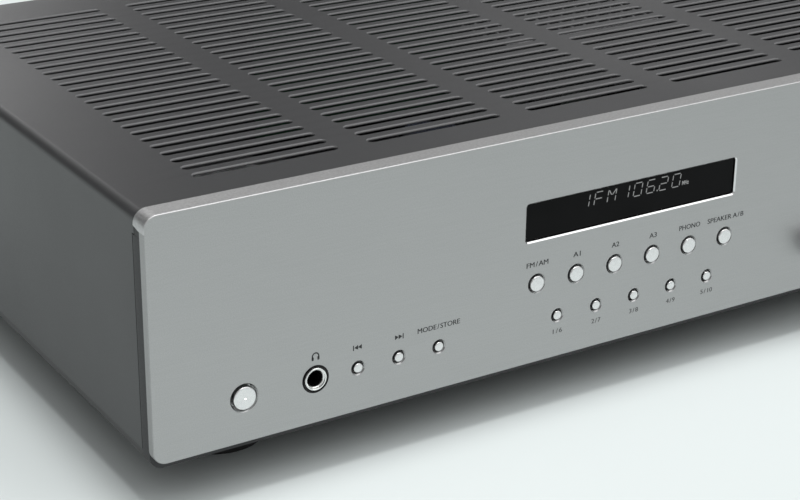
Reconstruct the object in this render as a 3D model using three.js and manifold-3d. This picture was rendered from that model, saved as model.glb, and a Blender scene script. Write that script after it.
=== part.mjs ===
// A stereo receiver: a folded steel cover with cooling slots, an aluminium fascia with its buttons, knobs and
// display, the boards, transformer and heat sink inside, and the sockets on the rear panel.
// Millimetres. X runs along the front, Y from the front to the rear, and Z up. The origin lies on the surface
// that the feet stand on, under the middle of the overall box.
import * as THREE from 'three';
import { mergeGeometries, mergeVertices } from 'three/addons/utils/BufferGeometryUtils.js';
import Module from 'manifold-3d';

const wasm = await Module();
wasm.setup();

// ---------------------------------------------------------------- driving dimensions

const WIDTH = 430;
const HEIGHT = 120;
const DEPTH = 340;
const KNOB_REACH = 25; // how far the volume knob stands in front of the fascia
const TERMINAL_REACH = 30; // how far the speaker terminals stand behind the cover
const GAP = 0.3; // air between pieces that rest on or sit in each other
const SHEET = 1; // cover steel
const BASE_SHEET = 1.2; // base and rear panel steel
const BOARD = 1.6; // circuit board thickness

const FASCIA = { height: 98.2, thick: 4, bevel: 0.7, corner: 5.5 };
const LIP = { depth: 9.1, sheet: 2, drop: 6.8, slope: 1.2 }; // the fascia's edge, wrapped back over the top
const FRAME = { inset: 0.6, below: 4, groove: 0.6, depth: 6.5, wall: 1.5, corner: 5.5, plate: 1.3, step: 2 };
const COVER = { step: 1, inset: 0.6, bend: 2.8, sideLift: 2.4 };
const VENT = { columns: 5, rows: 26, length: 62.6, width: 4.3, columnPitch: 75, rowPitch: 8.9, endSteps: 3 };
const VENT_START = 30.6; // from the face to the middle of the first row of slots
const BASE = { bottom: 18.5, flange: 16, standoff: 3, standoffInset: 7.5, boardLift: 10 };
const FOOT = { radius: 22, toe: 19.5, toeHeight: 3, edge: 0.8, x: 165, frontY: -95, rearY: 100 };

// Places on the fascia are measured from its left edge and its bottom edge.
const SCREEN = { left: 163.7, right: 271.4, bottom: 54, top: 69.8, recess: 1.2, rim: 2 };
const LOW_ROW = 18.6;
const SOURCE_ROW = 35.2;
const SOURCE = { count: 6, firstX: 170, pitch: 19.6, hole: 3.8, cap: 3.3, proud: 0.9 };
const PRESET = { count: 5, firstX: 181, pitch: 19.7, hole: 2.6, cap: 1.95, proud: 0.5 };
const POWER = { x: 37.6, hole: 5.4, cap: 4.65, proud: 0.9 };
const SMALL_BUTTONS = { skip_back_button: 86.7, skip_forward_button: 105.1, mode_button: 123.6 };
const JACK = { x: 68, hole: 5.7, ring: 5.4, bore: 3.2, depth: 20, width: 14, height: 16 };
const TONE_X = { bass_knob: 325, treble_knob: 345, balance_knob: 365 };
const TONE = { radius: 6.5, reach: 13, spindle: 2, holeGap: 1.9 };
const VOLUME = { x: 384, z: 58, radius: 21, spindle: 3, holeGap: 2.2 };
const BUTTON = { collar: 1.2, collarThick: 1, stem: 1.3, travel: 1.2, edge: 0.5 };
const TACT_SWITCH = { width: 6, height: 3 };
const KNOB = { clearance: 0.6, edge: 1, tipGap: 1 };
const CONTROL = { bushWall: 1.5, endWall: 2, volumeRadius: 13, volumeLength: 18, toneRadius: 6 };
const CONTROL_BOARD = { left: 24, right: 300, bottom: 4, top: 86, behindFrame: 12 };
const TONE_BOARD = { width: 64, height: 26 };
const DISPLAY = { width: 104, height: 19, thick: 7, holderWidth: 92, holderHeight: 12 };
const FRAME_MARGIN = { display: 6, buttons: 8, row: 9, volume: 17 }; // room around what comes through it

// Places on the rear are measured from the middle of the receiver and from the surface it stands on.
const SPEAKERS = { x: -92, z: 66, columns: 4, rows: 2, pitchX: 28, pitchZ: 26 };
const SPEAKER_PLATE = { width: 118, height: 56, thick: 4 };
const BINDING_POST = { stud: 2.5, cap: 7, capLength: 19, collar: 6.5, collarEnd: 9, studBehindCap: 1.5 };
const LINE_SOCKETS = { x: 26, z: 72, columns: 5, rows: 2, pitch: 15 };
const OUTPUT_SOCKETS = { x: 92, z: 72, columns: 2, rows: 2, pitch: 15 };
const RCA = { radius: 4.2, bore: 1.9, length: 9, margin: 8, plate: 3, inner: 12 };
const AERIAL = { fmX: 142, fmRadius: 5.5, amX: 172, amWidth: 18, amHeight: 10, z: 80 };
const MAINS = { x: -184, inletZ: 52, switchZ: 88 };
const INLET = { width: 27, height: 20, flange: 3, rim: 2.5, mouthWidth: 22.5, mouthHeight: 15.5, depth: 18 };
const BLADES = { width: 2, height: 4, spread: 7, drop: 2, rise: 2.5, setBack: 5 };
const ROCKER = { width: 9, height: 20, depth: 7, tilt: 8, pivotDepth: 1.5 };
const SWITCH_BODY = { width: 14, height: 26, depth: 20, well: 9 };

// Places inside are measured in the part's own frame.
const TRANSFORMER = { x: -120, y: -36, outer: 57, inner: 18, height: 54, round: 10 };
const CLAMP = { bolt: 4, hub: 12, rim: 32, nut: 6.5, nutHeight: 6, sheet: 1.5 };
const SINK = { x: 85, width: 92, y: 0, spine: 6, fins: 13, finDepth: 40, finThick: 1.6, height: 74 };
const TRANSISTOR = { offset: 24, width: 16, thick: 5, low: 24, high: 46, leadWidth: 12 };
const CAPACITOR = { x: -20, frontY: -66, rearY: -28, radius: 15, height: 50 };
const AMPLIFIER_BOARD = { left: -45, right: 135, front: -92, rear: 62 };
const INPUT_BOARD = { left: -30, right: 118, top: 104, beforePanel: 14 };
const TUNER = { left: -24, right: 30, frontY: 62, halfHeight: 10, legFrontY: 66, legRearY: 110, leg: 3 };

// ---------------------------------------------------------------- places that follow from them

const faceY = -DEPTH / 2 + KNOB_REACH;
const rearY = DEPTH / 2 - TERMINAL_REACH;
const halfWidth = WIDTH / 2;
const fasciaBottom = HEIGHT - FASCIA.height;
const fasciaBack = faceY + FASCIA.thick;
const lipRear = faceY + LIP.depth;
const frameFront = fasciaBack + FRAME.groove;
const frameRear = frameFront + FRAME.depth;
const frameBottom = fasciaBottom - FRAME.below;
const frameTop = HEIGHT - LIP.sheet - GAP;
const plateRear = fasciaBack + GAP + FRAME.plate;
const coverTop = HEIGHT - COVER.step;
const coverOuter = halfWidth - COVER.inset;
const coverInner = coverOuter - SHEET;
const baseTop = BASE.bottom + BASE_SHEET;
const baseHalf = coverInner - GAP;
const panelRear = rearY - GAP;
const panelFront = panelRear - BASE_SHEET;
const outside = panelRear + GAP;
const boardBottom = baseTop + BASE.boardLift + GAP;
const boardTop = boardBottom + BOARD;
const controlBoardFront = plateRear + CONTROL_BOARD.behindFrame;
const socketBoardRear = panelFront - INPUT_BOARD.beforePanel;

const acrossFascia = (fromLeft) => fromLeft - halfWidth;
const upFascia = (fromBottom) => fromBottom + fasciaBottom;

// ---------------------------------------------------------------- materials

function material(color, roughness, metalness) {
  return new THREE.MeshStandardMaterial({ color, roughness, metalness });
}

const brushedAluminium = material('#a6a6a6', 0.38, 1);
const coverPaint = material('#47484a', 0.55, 0.3);
const framePlastic = material('#38393b', 0.5, 0);
const zincSteel = material('#9a9d9f', 0.45, 1);
const blackPlastic = material('#17181a', 0.5, 0);
const footRubber = material('#1c1c1c', 0.85, 0);
const darkGlass = material('#0b0c0d', 0.08, 0);
const satinMetal = material('#d2d2d2', 0.3, 1);
const circuitBoard = material('#1f4a2e', 0.6, 0);
const windingTape = material('#c8a13a', 0.6, 0);
const capacitorSleeve = material('#20242c', 0.35, 0);
const nickel = material('#b9b7b0', 0.3, 1);
const redPlastic = material('#a3221f', 0.4, 0);

// ---------------------------------------------------------------- geometry helpers

// A closed solid, with its faces turned outwards.
function solid(geometry) {
  const plain = geometry.index ? geometry.toNonIndexed() : geometry.clone();
  plain.deleteAttribute('normal');
  plain.deleteAttribute('uv');
  const merged = mergeVertices(plain, 1e-4);
  const index = Array.from(merged.index.array);
  const kept = [];
  for (let i = 0; i < index.length; i += 3) {
    const [a, b, c] = index.slice(i, i + 3);
    if (a !== b && b !== c && c !== a) kept.push(a, b, c);
  }
  merged.setIndex(kept);
  if (signedVolume(merged) < 0) {
    merged.setIndex(kept.reverse());
  }
  return merged;
}

function signedVolume(geometry) {
  const p = geometry.attributes.position;
  const index = geometry.index.array;
  const [a, b, c] = [new THREE.Vector3(), new THREE.Vector3(), new THREE.Vector3()];
  let volume = 0;
  for (let i = 0; i < index.length; i += 3) {
    a.fromBufferAttribute(p, index[i]);
    b.fromBufferAttribute(p, index[i + 1]);
    c.fromBufferAttribute(p, index[i + 2]);
    volume += a.dot(b.cross(c)) / 6;
  }
  return volume;
}

function toManifold(geometry) {
  const closed = solid(geometry);
  const vertProperties = Float32Array.from(closed.attributes.position.array);
  const triVerts = Uint32Array.from(closed.index.array);
  return new wasm.Manifold(new wasm.Mesh({ numProp: 3, vertProperties, triVerts }));
}

function toGeometry(manifold) {
  const { numProp, vertProperties, triVerts } = manifold.getMesh();
  const positions = [];
  for (let i = 0; i < vertProperties.length; i += numProp) {
    positions.push(vertProperties[i], vertProperties[i + 1], vertProperties[i + 2]);
  }
  const geometry = new THREE.BufferGeometry();
  geometry.setAttribute('position', new THREE.Float32BufferAttribute(positions, 3));
  geometry.setIndex(Array.from(triVerts));
  return geometry;
}

function join(first, ...others) {
  let result = toManifold(first);
  for (const other of others) {
    result = result.add(toManifold(other));
  }
  return toGeometry(result);
}

function cut(first, ...tools) {
  let result = toManifold(first);
  for (const tool of tools) {
    result = result.subtract(toManifold(tool));
  }
  return toGeometry(result);
}

function box(x0, x1, y0, y1, z0, z1) {
  const geometry = new THREE.BoxGeometry(x1 - x0, y1 - y0, z1 - z0);
  return geometry.translate((x0 + x1) / 2, (y0 + y1) / 2, (z0 + z1) / 2);
}

// A box given by its middle across and up, and by where it starts and ends along Y.
function block(x, z, width, height, y0, y1) {
  return box(x - width / 2, x + width / 2, y0, y1, z - height / 2, z + height / 2);
}

function polygon(points) {
  return new THREE.Shape(points.map(([u, v]) => new THREE.Vector2(u, v)));
}

// Points on an arc, with the angles in quarter turns.
function arc(u, v, radius, from, to, steps) {
  const points = [];
  for (let i = 0; i <= steps; i += 1) {
    const angle = (Math.PI / 2) * (from + ((to - from) * i) / steps);
    points.push([u + radius * Math.cos(angle), v + radius * Math.sin(angle)]);
  }
  return points;
}

function roundedRectangle(left, right, bottom, top, radius, steps = 4) {
  return polygon([
    ...arc(right - radius, top - radius, radius, 0, 1, steps),
    ...arc(left + radius, top - radius, radius, 1, 2, steps),
    ...arc(left + radius, bottom + radius, radius, 2, 3, steps),
    ...arc(right - radius, bottom + radius, radius, 3, 4, steps),
  ]);
}

// An outline drawn across and up, carried along Y from y0 to y1.
function alongY(shape, y0, y1) {
  const geometry = new THREE.ExtrudeGeometry(shape, { depth: y1 - y0, bevelEnabled: false });
  return geometry.rotateX(Math.PI / 2).translate(0, y1, 0);
}

// An outline drawn across and back, carried up from z0 to z1.
function alongZ(shape, z0, z1) {
  const geometry = new THREE.ExtrudeGeometry(shape, { depth: z1 - z0, bevelEnabled: false });
  return geometry.translate(0, 0, z0);
}

// An outline drawn back and up, carried across from x0 to x1.
function alongX(shape, x0, x1) {
  const geometry = new THREE.ExtrudeGeometry(shape, { depth: x1 - x0, bevelEnabled: false });
  const swap = new THREE.Matrix4().set(0, 0, 1, x0, 1, 0, 0, 0, 0, 1, 0, 0, 0, 0, 0, 1);
  return geometry.applyMatrix4(swap);
}

// A turned piece about the Y axis, through x and z. The profile is [radius, y] pairs that start and end on
// the axis, or that close on themselves.
function turnedY(profile, x, z, segments = 24) {
  const points = profile.map(([r, y]) => new THREE.Vector2(r, y));
  return new THREE.LatheGeometry(points, segments).translate(x, 0, z);
}

// A turned piece about the Z axis, through x and y.
function turnedZ(profile, x, y, segments = 24) {
  const points = profile.map(([r, z]) => new THREE.Vector2(r, z));
  return new THREE.LatheGeometry(points, segments).rotateX(Math.PI / 2).translate(x, y, 0);
}

function rod(radius, x, z, y0, y1, segments = 24) {
  return turnedY([[0, y0], [radius, y0], [radius, y1], [0, y1]], x, z, segments);
}

function post(radius, x, y, z0, z1, segments = 12) {
  return turnedZ([[0, z0], [radius, z0], [radius, z1], [0, z1]], x, y, segments);
}

const receiver = new THREE.Group();

function add(name, geometry, finish) {
  const mesh = new THREE.Mesh(solid(geometry), finish);
  mesh.name = name;
  receiver.add(mesh);
}

// ---------------------------------------------------------------- places of the repeated controls

function buttonPlaces() {
  const places = [];
  for (let i = 0; i < SOURCE.count; i += 1) {
    const x = acrossFascia(SOURCE.firstX + i * SOURCE.pitch);
    places.push({ name: `source_button_${i + 1}`, x, z: upFascia(SOURCE_ROW), size: SOURCE });
  }
  for (let i = 0; i < PRESET.count; i += 1) {
    const x = acrossFascia(PRESET.firstX + i * PRESET.pitch);
    places.push({ name: `preset_button_${i + 1}`, x, z: upFascia(LOW_ROW), size: PRESET });
  }
  for (const [name, fromLeft] of Object.entries(SMALL_BUTTONS)) {
    places.push({ name, x: acrossFascia(fromLeft), z: upFascia(LOW_ROW), size: PRESET });
  }
  places.push({ name: 'power_button', x: acrossFascia(POWER.x), z: upFascia(LOW_ROW), size: POWER });
  return places;
}

function tonePlaces() {
  const names = Object.entries(TONE_X);
  return names.map(([name, fromLeft]) => ({ name, x: acrossFascia(fromLeft), z: upFascia(LOW_ROW) }));
}

function grid({ x, z, columns, rows }, pitchX, pitchZ) {
  const places = [];
  for (let row = 0; row < rows; row += 1) {
    for (let column = 0; column < columns; column += 1) {
      const across = x + (column - (columns - 1) / 2) * pitchX;
      const up = z + (row - (rows - 1) / 2) * pitchZ;
      places.push([across, up]);
    }
  }
  return places;
}

// ---------------------------------------------------------------- fascia and the frame behind it

// The lip wraps back over the top and round both top corners, and stops there with a sloping edge.
function fasciaLip() {
  const { corner, thick } = FASCIA;
  const outer = roundedRectangle(-halfWidth, halfWidth, fasciaBottom, HEIGHT, corner);
  const inner = roundedRectangle(
    -halfWidth + LIP.sheet,
    halfWidth - LIP.sheet,
    fasciaBottom + LIP.sheet,
    HEIGHT - LIP.sheet,
    corner - LIP.sheet,
  );
  const root = fasciaBack - thick / 4;
  const below = polygon([
    [root - 1, 0],
    [root - 1, HEIGHT - LIP.drop],
    [lipRear + 1, HEIGHT - LIP.drop + LIP.slope],
    [lipRear + 1, 0],
  ]);
  const room = alongY(inner, root - 1, lipRear + 1);
  return cut(alongY(outer, root, lipRear), room, alongX(below, -WIDTH, WIDTH));
}

function fasciaPlate() {
  const { thick, bevel, corner } = FASCIA;
  const outline = roundedRectangle(-halfWidth, halfWidth, fasciaBottom, HEIGHT, corner);
  const bevelled = new THREE.ExtrudeGeometry(outline, {
    depth: thick,
    bevelThickness: bevel,
    bevelSize: bevel,
    bevelOffset: -bevel,
    bevelSegments: 1,
  });
  bevelled.rotateX(Math.PI / 2).translate(0, faceY + bevel + thick, 0);
  return cut(bevelled, box(-WIDTH, WIDTH, fasciaBack, faceY + 3 * thick, 0, 2 * HEIGHT));
}

function frontFascia() {
  const y0 = faceY - 1;
  const y1 = fasciaBack + 1;
  const tools = buttonPlaces().map(({ x, z, size }) => rod(size.hole, x, z, y0, y1, 12));
  tools.push(rod(JACK.hole, acrossFascia(JACK.x), upFascia(LOW_ROW), y0, y1, 16));
  tools.push(rod(VOLUME.spindle + VOLUME.holeGap, acrossFascia(VOLUME.x), upFascia(VOLUME.z), y0, y1, 12));
  for (const { x, z } of tonePlaces()) {
    tools.push(rod(TONE.spindle + TONE.holeGap, x, z, y0, y1, 12));
  }
  const { left, right, bottom, top } = SCREEN;
  tools.push(box(acrossFascia(left), acrossFascia(right), y0, y1, upFascia(bottom), upFascia(top)));
  return cut(join(fasciaPlate(), fasciaLip()), mergeGeometries(tools.map(solid)));
}

// A hole in the frame around an area of the fascia, from one end of its row to the other.
function frameHole(left, right, bottom, top, margin) {
  return box(
    acrossFascia(left - margin),
    acrossFascia(right + margin),
    fasciaBack,
    frameRear + 1,
    upFascia(bottom - margin),
    upFascia(top + margin),
  );
}

function frameHoles() {
  const { left, right, bottom, top } = SCREEN;
  const lastSource = SOURCE.firstX + (SOURCE.count - 1) * SOURCE.pitch;
  return [
    frameHole(left, right, bottom, top, FRAME_MARGIN.display),
    frameHole(SOURCE.firstX, lastSource, LOW_ROW, SOURCE_ROW, FRAME_MARGIN.buttons),
    frameHole(POWER.x, SMALL_BUTTONS.mode_button, LOW_ROW, LOW_ROW, FRAME_MARGIN.row),
    frameHole(TONE_X.bass_knob, TONE_X.balance_knob, LOW_ROW, LOW_ROW, FRAME_MARGIN.row),
    frameHole(VOLUME.x, VOLUME.x, VOLUME.z, VOLUME.z, FRAME_MARGIN.volume),
  ];
}

// The dark frame that carries the fascia: a shallow ring with an inset front plate.
function frontSubframe() {
  const half = halfWidth - FRAME.inset;
  const outline = (inset) => roundedRectangle(
    inset - half,
    half - inset,
    frameBottom + inset,
    frameTop - inset,
    FRAME.corner - inset,
  );
  const y0 = fasciaBack + GAP;
  const room = alongY(outline(FRAME.wall), plateRear, frameRear + 1);
  const ring = cut(alongY(outline(0), frameFront, frameRear), room);
  const lip = LIP.sheet + 3 * GAP;
  const lipClear = HEIGHT - LIP.drop - GAP;
  const coverClear = lipRear;
  return cut(
    join(ring, alongY(outline(FRAME.step), y0, plateRear)),
    box(-WIDTH, lip - halfWidth, y0 - 1, frameRear + 1, lipClear, HEIGHT),
    box(halfWidth - lip, WIDTH, y0 - 1, frameRear + 1, lipClear, HEIGHT),
    box(-WIDTH, GAP - coverInner, coverClear, frameRear + 1, lipClear - COVER.bend, HEIGHT),
    box(coverInner - GAP, WIDTH, coverClear, frameRear + 1, lipClear - COVER.bend, HEIGHT),
    box(-WIDTH, WIDTH, coverClear, frameRear + 1, coverTop - SHEET - GAP, HEIGHT),
    ...frameHoles(),
  );
}

function displayWindow() {
  const { left, right, bottom, top, recess, rim } = SCREEN;
  const x0 = acrossFascia(left);
  const x1 = acrossFascia(right);
  const z0 = upFascia(bottom);
  const z1 = upFascia(top);
  const pane = box(x0 + GAP, x1 - GAP, faceY + recess, fasciaBack + 1, z0 + GAP, z1 - GAP);
  const flange = box(x0 - rim, x1 + rim, fasciaBack + GAP, fasciaBack + GAP + 1, z0 - rim, z1 + rim);
  return join(pane, flange);
}

function displayModule() {
  const x = acrossFascia((SCREEN.left + SCREEN.right) / 2);
  const z = upFascia((SCREEN.bottom + SCREEN.top) / 2);
  const front = fasciaBack + 2 * GAP + 1;
  const { width, height, thick, holderWidth, holderHeight } = DISPLAY;
  const tube = block(x, z, width, height, front, front + thick);
  const holder = block(x, z, holderWidth, holderHeight, front + thick - 1, controlBoardFront - GAP);
  return join(tube, holder);
}

// ---------------------------------------------------------------- buttons and knobs

function button({ x, z, size }) {
  const { cap, proud } = size;
  const { collar, collarThick, stem, travel, edge } = BUTTON;
  const collarFront = fasciaBack + GAP;
  const stemEnd = controlBoardFront - TACT_SWITCH.height - travel - GAP;
  const profile = [
    [0, faceY - proud],
    [cap - edge, faceY - proud + edge / 4],
    [cap, faceY - proud + edge],
    [cap, collarFront],
    [cap + collar, collarFront],
    [cap + collar, collarFront + collarThick],
    [stem, collarFront + collarThick],
    [stem, stemEnd],
    [0, stemEnd],
  ];
  return turnedY(profile, x, z, 12);
}

function knob(x, z, radius, front, spindle, spindleEnd, segments) {
  const back = faceY - KNOB.clearance;
  const profile = [
    [0, front],
    [radius - KNOB.edge, front],
    [radius, front + KNOB.edge],
    [radius, back],
    [spindle, back],
    [spindle, spindleEnd],
    [0, spindleEnd],
  ];
  return turnedY(profile, x, z, segments);
}

// A round control with a bushing that comes forward through the fascia, and a blind bore for the spindle.
function potentiometer(x, z, radius, spindle, rear) {
  const bore = spindle + GAP;
  const bush = spindle + CONTROL.bushWall;
  const boreEnd = rear - CONTROL.endWall;
  const profile = [
    [0, rear],
    [radius, rear],
    [radius, plateRear + GAP],
    [bush, plateRear + GAP],
    [bush, faceY + 0.5],
    [bore, faceY + 0.5],
    [bore, boreEnd],
    [0, boreEnd],
  ];
  return turnedY(profile, x, z, 12);
}

const volumeRear = plateRear + CONTROL.volumeLength;
const toneRear = controlBoardFront + BOARD / 3;

function volumeControl() {
  const x = acrossFascia(VOLUME.x);
  return potentiometer(x, upFascia(VOLUME.z), CONTROL.volumeRadius, VOLUME.spindle, volumeRear);
}

function toneBoard() {
  const middle = acrossFascia(TONE_X.treble_knob);
  const z = upFascia(LOW_ROW);
  const { width, height } = TONE_BOARD;
  const board = block(middle, z, width, height, controlBoardFront, controlBoardFront + BOARD);
  const pots = tonePlaces().map((p) => potentiometer(p.x, p.z, CONTROL.toneRadius, TONE.spindle, toneRear));
  return join(board, ...pots);
}

function addKnobs() {
  const volumeEnd = volumeRear - CONTROL.endWall - KNOB.tipGap;
  const x = acrossFascia(VOLUME.x);
  const z = upFascia(VOLUME.z);
  add('volume_knob', knob(x, z, VOLUME.radius, -DEPTH / 2, VOLUME.spindle, volumeEnd, 36), satinMetal);
  const toneEnd = toneRear - CONTROL.endWall - KNOB.tipGap;
  for (const place of tonePlaces()) {
    const front = faceY - TONE.reach;
    add(place.name, knob(place.x, place.z, TONE.radius, front, TONE.spindle, toneEnd, 16), satinMetal);
  }
}

function controlBoard() {
  const y0 = controlBoardFront;
  const y1 = y0 + BOARD;
  const { left, right, bottom, top } = CONTROL_BOARD;
  const { width, height } = TACT_SWITCH;
  const board = box(acrossFascia(left), acrossFascia(right), y0, y1, upFascia(bottom), upFascia(top));
  const switches = buttonPlaces().map(({ x, z }) => block(x, z, width, width, y0 - height, y0 + BOARD / 3));
  const jackX = acrossFascia(JACK.x);
  const jackRoom = block(jackX, upFascia(LOW_ROW), JACK.width + 2, JACK.height + 2, y0 - 1, y1 + 1);
  return cut(join(board, ...switches), jackRoom);
}

function headphoneJack() {
  const x = acrossFascia(JACK.x);
  const z = upFascia(LOW_ROW);
  const end = faceY + JACK.depth;
  const sleeve = rod(JACK.ring, x, z, faceY - 0.5, fasciaBack + 2);
  const body = block(x, z, JACK.width, JACK.height, fasciaBack + GAP, end + 2);
  return cut(join(sleeve, body), rod(JACK.bore, x, z, faceY - 2, end));
}

// ---------------------------------------------------------------- cover, base, rear panel and feet

function slotOutline(x, y) {
  const { length, width, endSteps } = VENT;
  const r = width / 2;
  return polygon([
    ...arc(x + length / 2 - r, y, r, -1, 1, endSteps),
    ...arc(x - length / 2 + r, y, r, 1, 3, endSteps),
  ]);
}

// A flat-bottomed outline whose two top corners follow the cover's bends.
function arch(half, foot, top, radius) {
  return polygon([
    [-half, foot],
    [half, foot],
    ...arc(half - radius, top - radius, radius, 0, 1, 3),
    ...arc(radius - half, top - radius, radius, 1, 2, 3),
  ]);
}

function topCover() {
  const bottom = fasciaBottom + COVER.sideLift;
  const y0 = lipRear + GAP;
  const outer = alongY(arch(coverOuter, bottom, coverTop, COVER.bend), y0, rearY);
  const inner = arch(coverInner, bottom - 1, coverTop - SHEET, COVER.bend - SHEET);
  const sideFront = box(-WIDTH, WIDTH, y0 - 1, frameRear + GAP, 0, HEIGHT - LIP.drop - COVER.bend);
  const slots = [];
  for (let column = 0; column < VENT.columns; column += 1) {
    for (let row = 0; row < VENT.rows; row += 1) {
      const x = (column - (VENT.columns - 1) / 2) * VENT.columnPitch;
      const y = faceY + VENT_START + row * VENT.rowPitch;
      slots.push(solid(alongZ(slotOutline(x, y), coverTop - SHEET - 1, coverTop + 1)));
    }
  }
  return cut(outer, alongY(inner, y0 - 1, rearY + 1), sideFront, mergeGeometries(slots));
}

function basePan() {
  const y0 = frameRear + GAP;
  const y1 = panelFront - GAP;
  const tray = box(-baseHalf, baseHalf, y0, y1, BASE.bottom, BASE.bottom + BASE.flange);
  const room = box(BASE_SHEET - baseHalf, baseHalf - BASE_SHEET, y0 - 1, y1 + 1, baseTop, HEIGHT);
  const { left, right, front, rear } = AMPLIFIER_BOARD;
  const inset = BASE.standoffInset;
  const standoffs = [];
  for (const x of [left + inset, right - inset]) {
    for (const y of [front + inset, rear - inset]) {
      standoffs.push(post(BASE.standoff, x, y, baseTop - BASE_SHEET / 2, boardBottom - GAP, 8));
    }
  }
  return join(cut(tray, room), ...standoffs);
}

function socketPlateSize({ columns, rows, pitch }) {
  return [(columns - 1) * pitch + 2 * RCA.margin, (rows - 1) * pitch + 2 * RCA.margin];
}

function rearPanel() {
  const outline = arch(baseHalf, BASE.bottom, coverTop - SHEET - GAP, COVER.bend - SHEET);
  const plate = alongY(outline, panelFront, panelRear);
  const y0 = panelFront - 1;
  const y1 = panelRear + 1;
  const holes = [];
  for (const sockets of [LINE_SOCKETS, OUTPUT_SOCKETS]) {
    const [width, height] = socketPlateSize(sockets);
    holes.push(block(sockets.x, sockets.z, width - 4, height - 4, y0, y1));
  }
  const { fmX, fmRadius, amX, amWidth, amHeight } = AERIAL;
  const air = 2 * GAP;
  holes.push(block(SPEAKERS.x, SPEAKERS.z, SPEAKER_PLATE.width - 18, SPEAKER_PLATE.height - 16, y0, y1));
  holes.push(rod(fmRadius + air, fmX, AERIAL.z, y0, y1, 16));
  holes.push(block(amX, AERIAL.z, amWidth + 2 * air, amHeight + 2 * air, y0, y1));
  holes.push(block(MAINS.x, MAINS.inletZ, INLET.width + air, INLET.height + air, y0, y1));
  holes.push(block(MAINS.x, MAINS.switchZ, SWITCH_BODY.width + air, SWITCH_BODY.height + air, y0, y1));
  return cut(plate, mergeGeometries(holes.map(solid)));
}

function foot(x, y) {
  const top = BASE.bottom - GAP;
  const { radius, toe, toeHeight, edge } = FOOT;
  const profile = [
    [0, 0],
    [toe - edge, 0],
    [toe, edge],
    [toe, toeHeight],
    [radius, toeHeight + edge],
    [radius, top],
    [0, top],
  ];
  return turnedZ(profile, x, y, 20);
}

function addFeet() {
  const sides = { left: -FOOT.x, right: FOOT.x };
  const ends = { front: FOOT.frontY, rear: FOOT.rearY };
  for (const [end, y] of Object.entries(ends)) {
    for (const [side, x] of Object.entries(sides)) {
      add(`foot_${end}_${side}`, foot(x, y), footRubber);
    }
  }
}

// ---------------------------------------------------------------- inside

function transformer() {
  const { x, y, outer, inner, height, round } = TRANSFORMER;
  const z0 = baseTop + GAP;
  const z1 = z0 + height;
  const shoulder = round * (1 - Math.SQRT1_2);
  const profile = [
    [inner, z0 + round / 2],
    [inner + round / 2, z0],
    [outer - round, z0],
    [outer - shoulder, z0 + shoulder],
    [outer, z0 + round],
    [outer, z1 - round],
    [outer - shoulder, z1 - shoulder],
    [outer - round, z1],
    [inner + round / 2, z1],
    [inner, z1 - round / 2],
    [inner, z0 + round / 2],
  ];
  return turnedZ(profile, x, y, 24);
}

// The dished washer and bolt that hold the transformer down through its middle.
function transformerClamp() {
  const { x, y, height } = TRANSFORMER;
  const { bolt, hub, rim, nut, nutHeight, sheet } = CLAMP;
  const z0 = baseTop + GAP + height + GAP;
  const slope = rim - hub;
  const profile = [
    [0, baseTop + 2],
    [bolt, baseTop + 2],
    [bolt, z0 - sheet],
    [hub, z0 - sheet],
    [hub + slope / 3, z0],
    [rim, z0],
    [rim, z0 + sheet],
    [hub + slope / 3, z0 + sheet],
    [hub, z0 + sheet / 2],
    [nut, z0 + sheet / 2],
    [nut, z0 + nutHeight],
    [0, z0 + nutHeight],
  ];
  return turnedZ(profile, x, y, 12);
}

function heatSink() {
  const { x, width, y, spine, fins, finDepth, finThick, height } = SINK;
  const left = x - width / 2;
  const pitch = (width - finThick) / (fins - 1);
  const points = [[left, y], [left + width, y]];
  for (let i = fins - 1; i >= 0; i -= 1) {
    const fin = left + i * pitch;
    points.push([fin + finThick, y + (i === fins - 1 ? spine + finDepth : spine)]);
    if (i < fins - 1) points.push([fin + finThick, y + spine + finDepth]);
    points.push([fin, y + spine + finDepth]);
    if (i > 0) points.push([fin, y + spine]);
  }
  return alongZ(polygon(points), boardTop + GAP, boardTop + GAP + height);
}

function outputTransistor(x) {
  const { width, thick, low, high, leadWidth } = TRANSISTOR;
  const back = SINK.y - GAP;
  const middle = back - thick / 2;
  const leadTop = boardTop + low + 1;
  const body = box(x - width / 2, x + width / 2, back - thick, back, boardTop + low, boardTop + high);
  const leadBottom = boardTop + GAP;
  const leadHalf = leadWidth / 2;
  const leads = box(x - leadHalf, x + leadHalf, middle - 0.5, middle + 0.5, leadBottom, leadTop);
  return join(body, leads);
}

function reservoirCapacitor(y) {
  const { x, radius, height } = CAPACITOR;
  const z0 = boardTop + GAP;
  const profile = [
    [0, z0],
    [radius - 0.5, z0],
    [radius - 0.5, z0 + 2],
    [radius, z0 + 3],
    [radius, z0 + height - 2],
    [radius - 1, z0 + height],
    [0, z0 + height],
  ];
  return turnedZ(profile, x, y, 20);
}

function amplifierBoard() {
  const { left, right, front, rear } = AMPLIFIER_BOARD;
  return box(left, right, front, rear, boardBottom, boardTop);
}

function inputBoard() {
  const { left, right, top } = INPUT_BOARD;
  return box(left, right, socketBoardRear - BOARD, socketBoardRear, boardTop, top);
}

function tunerModule() {
  const { left, right, frontY, halfHeight, legFrontY, legRearY, leg } = TUNER;
  const x0 = AERIAL.fmX + left;
  const x1 = AERIAL.fmX + right;
  const z0 = AERIAL.z - halfHeight;
  const can = box(x0, x1, frontY, socketBoardRear, z0, AERIAL.z + halfHeight);
  const legs = [x0 + 2 * leg, x1 - 2 * leg].map((x) => {
    return box(x - leg / 2, x + leg / 2, legFrontY, legRearY, baseTop + GAP, z0 + 1);
  });
  return join(can, ...legs);
}

// ---------------------------------------------------------------- rear sockets

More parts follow.
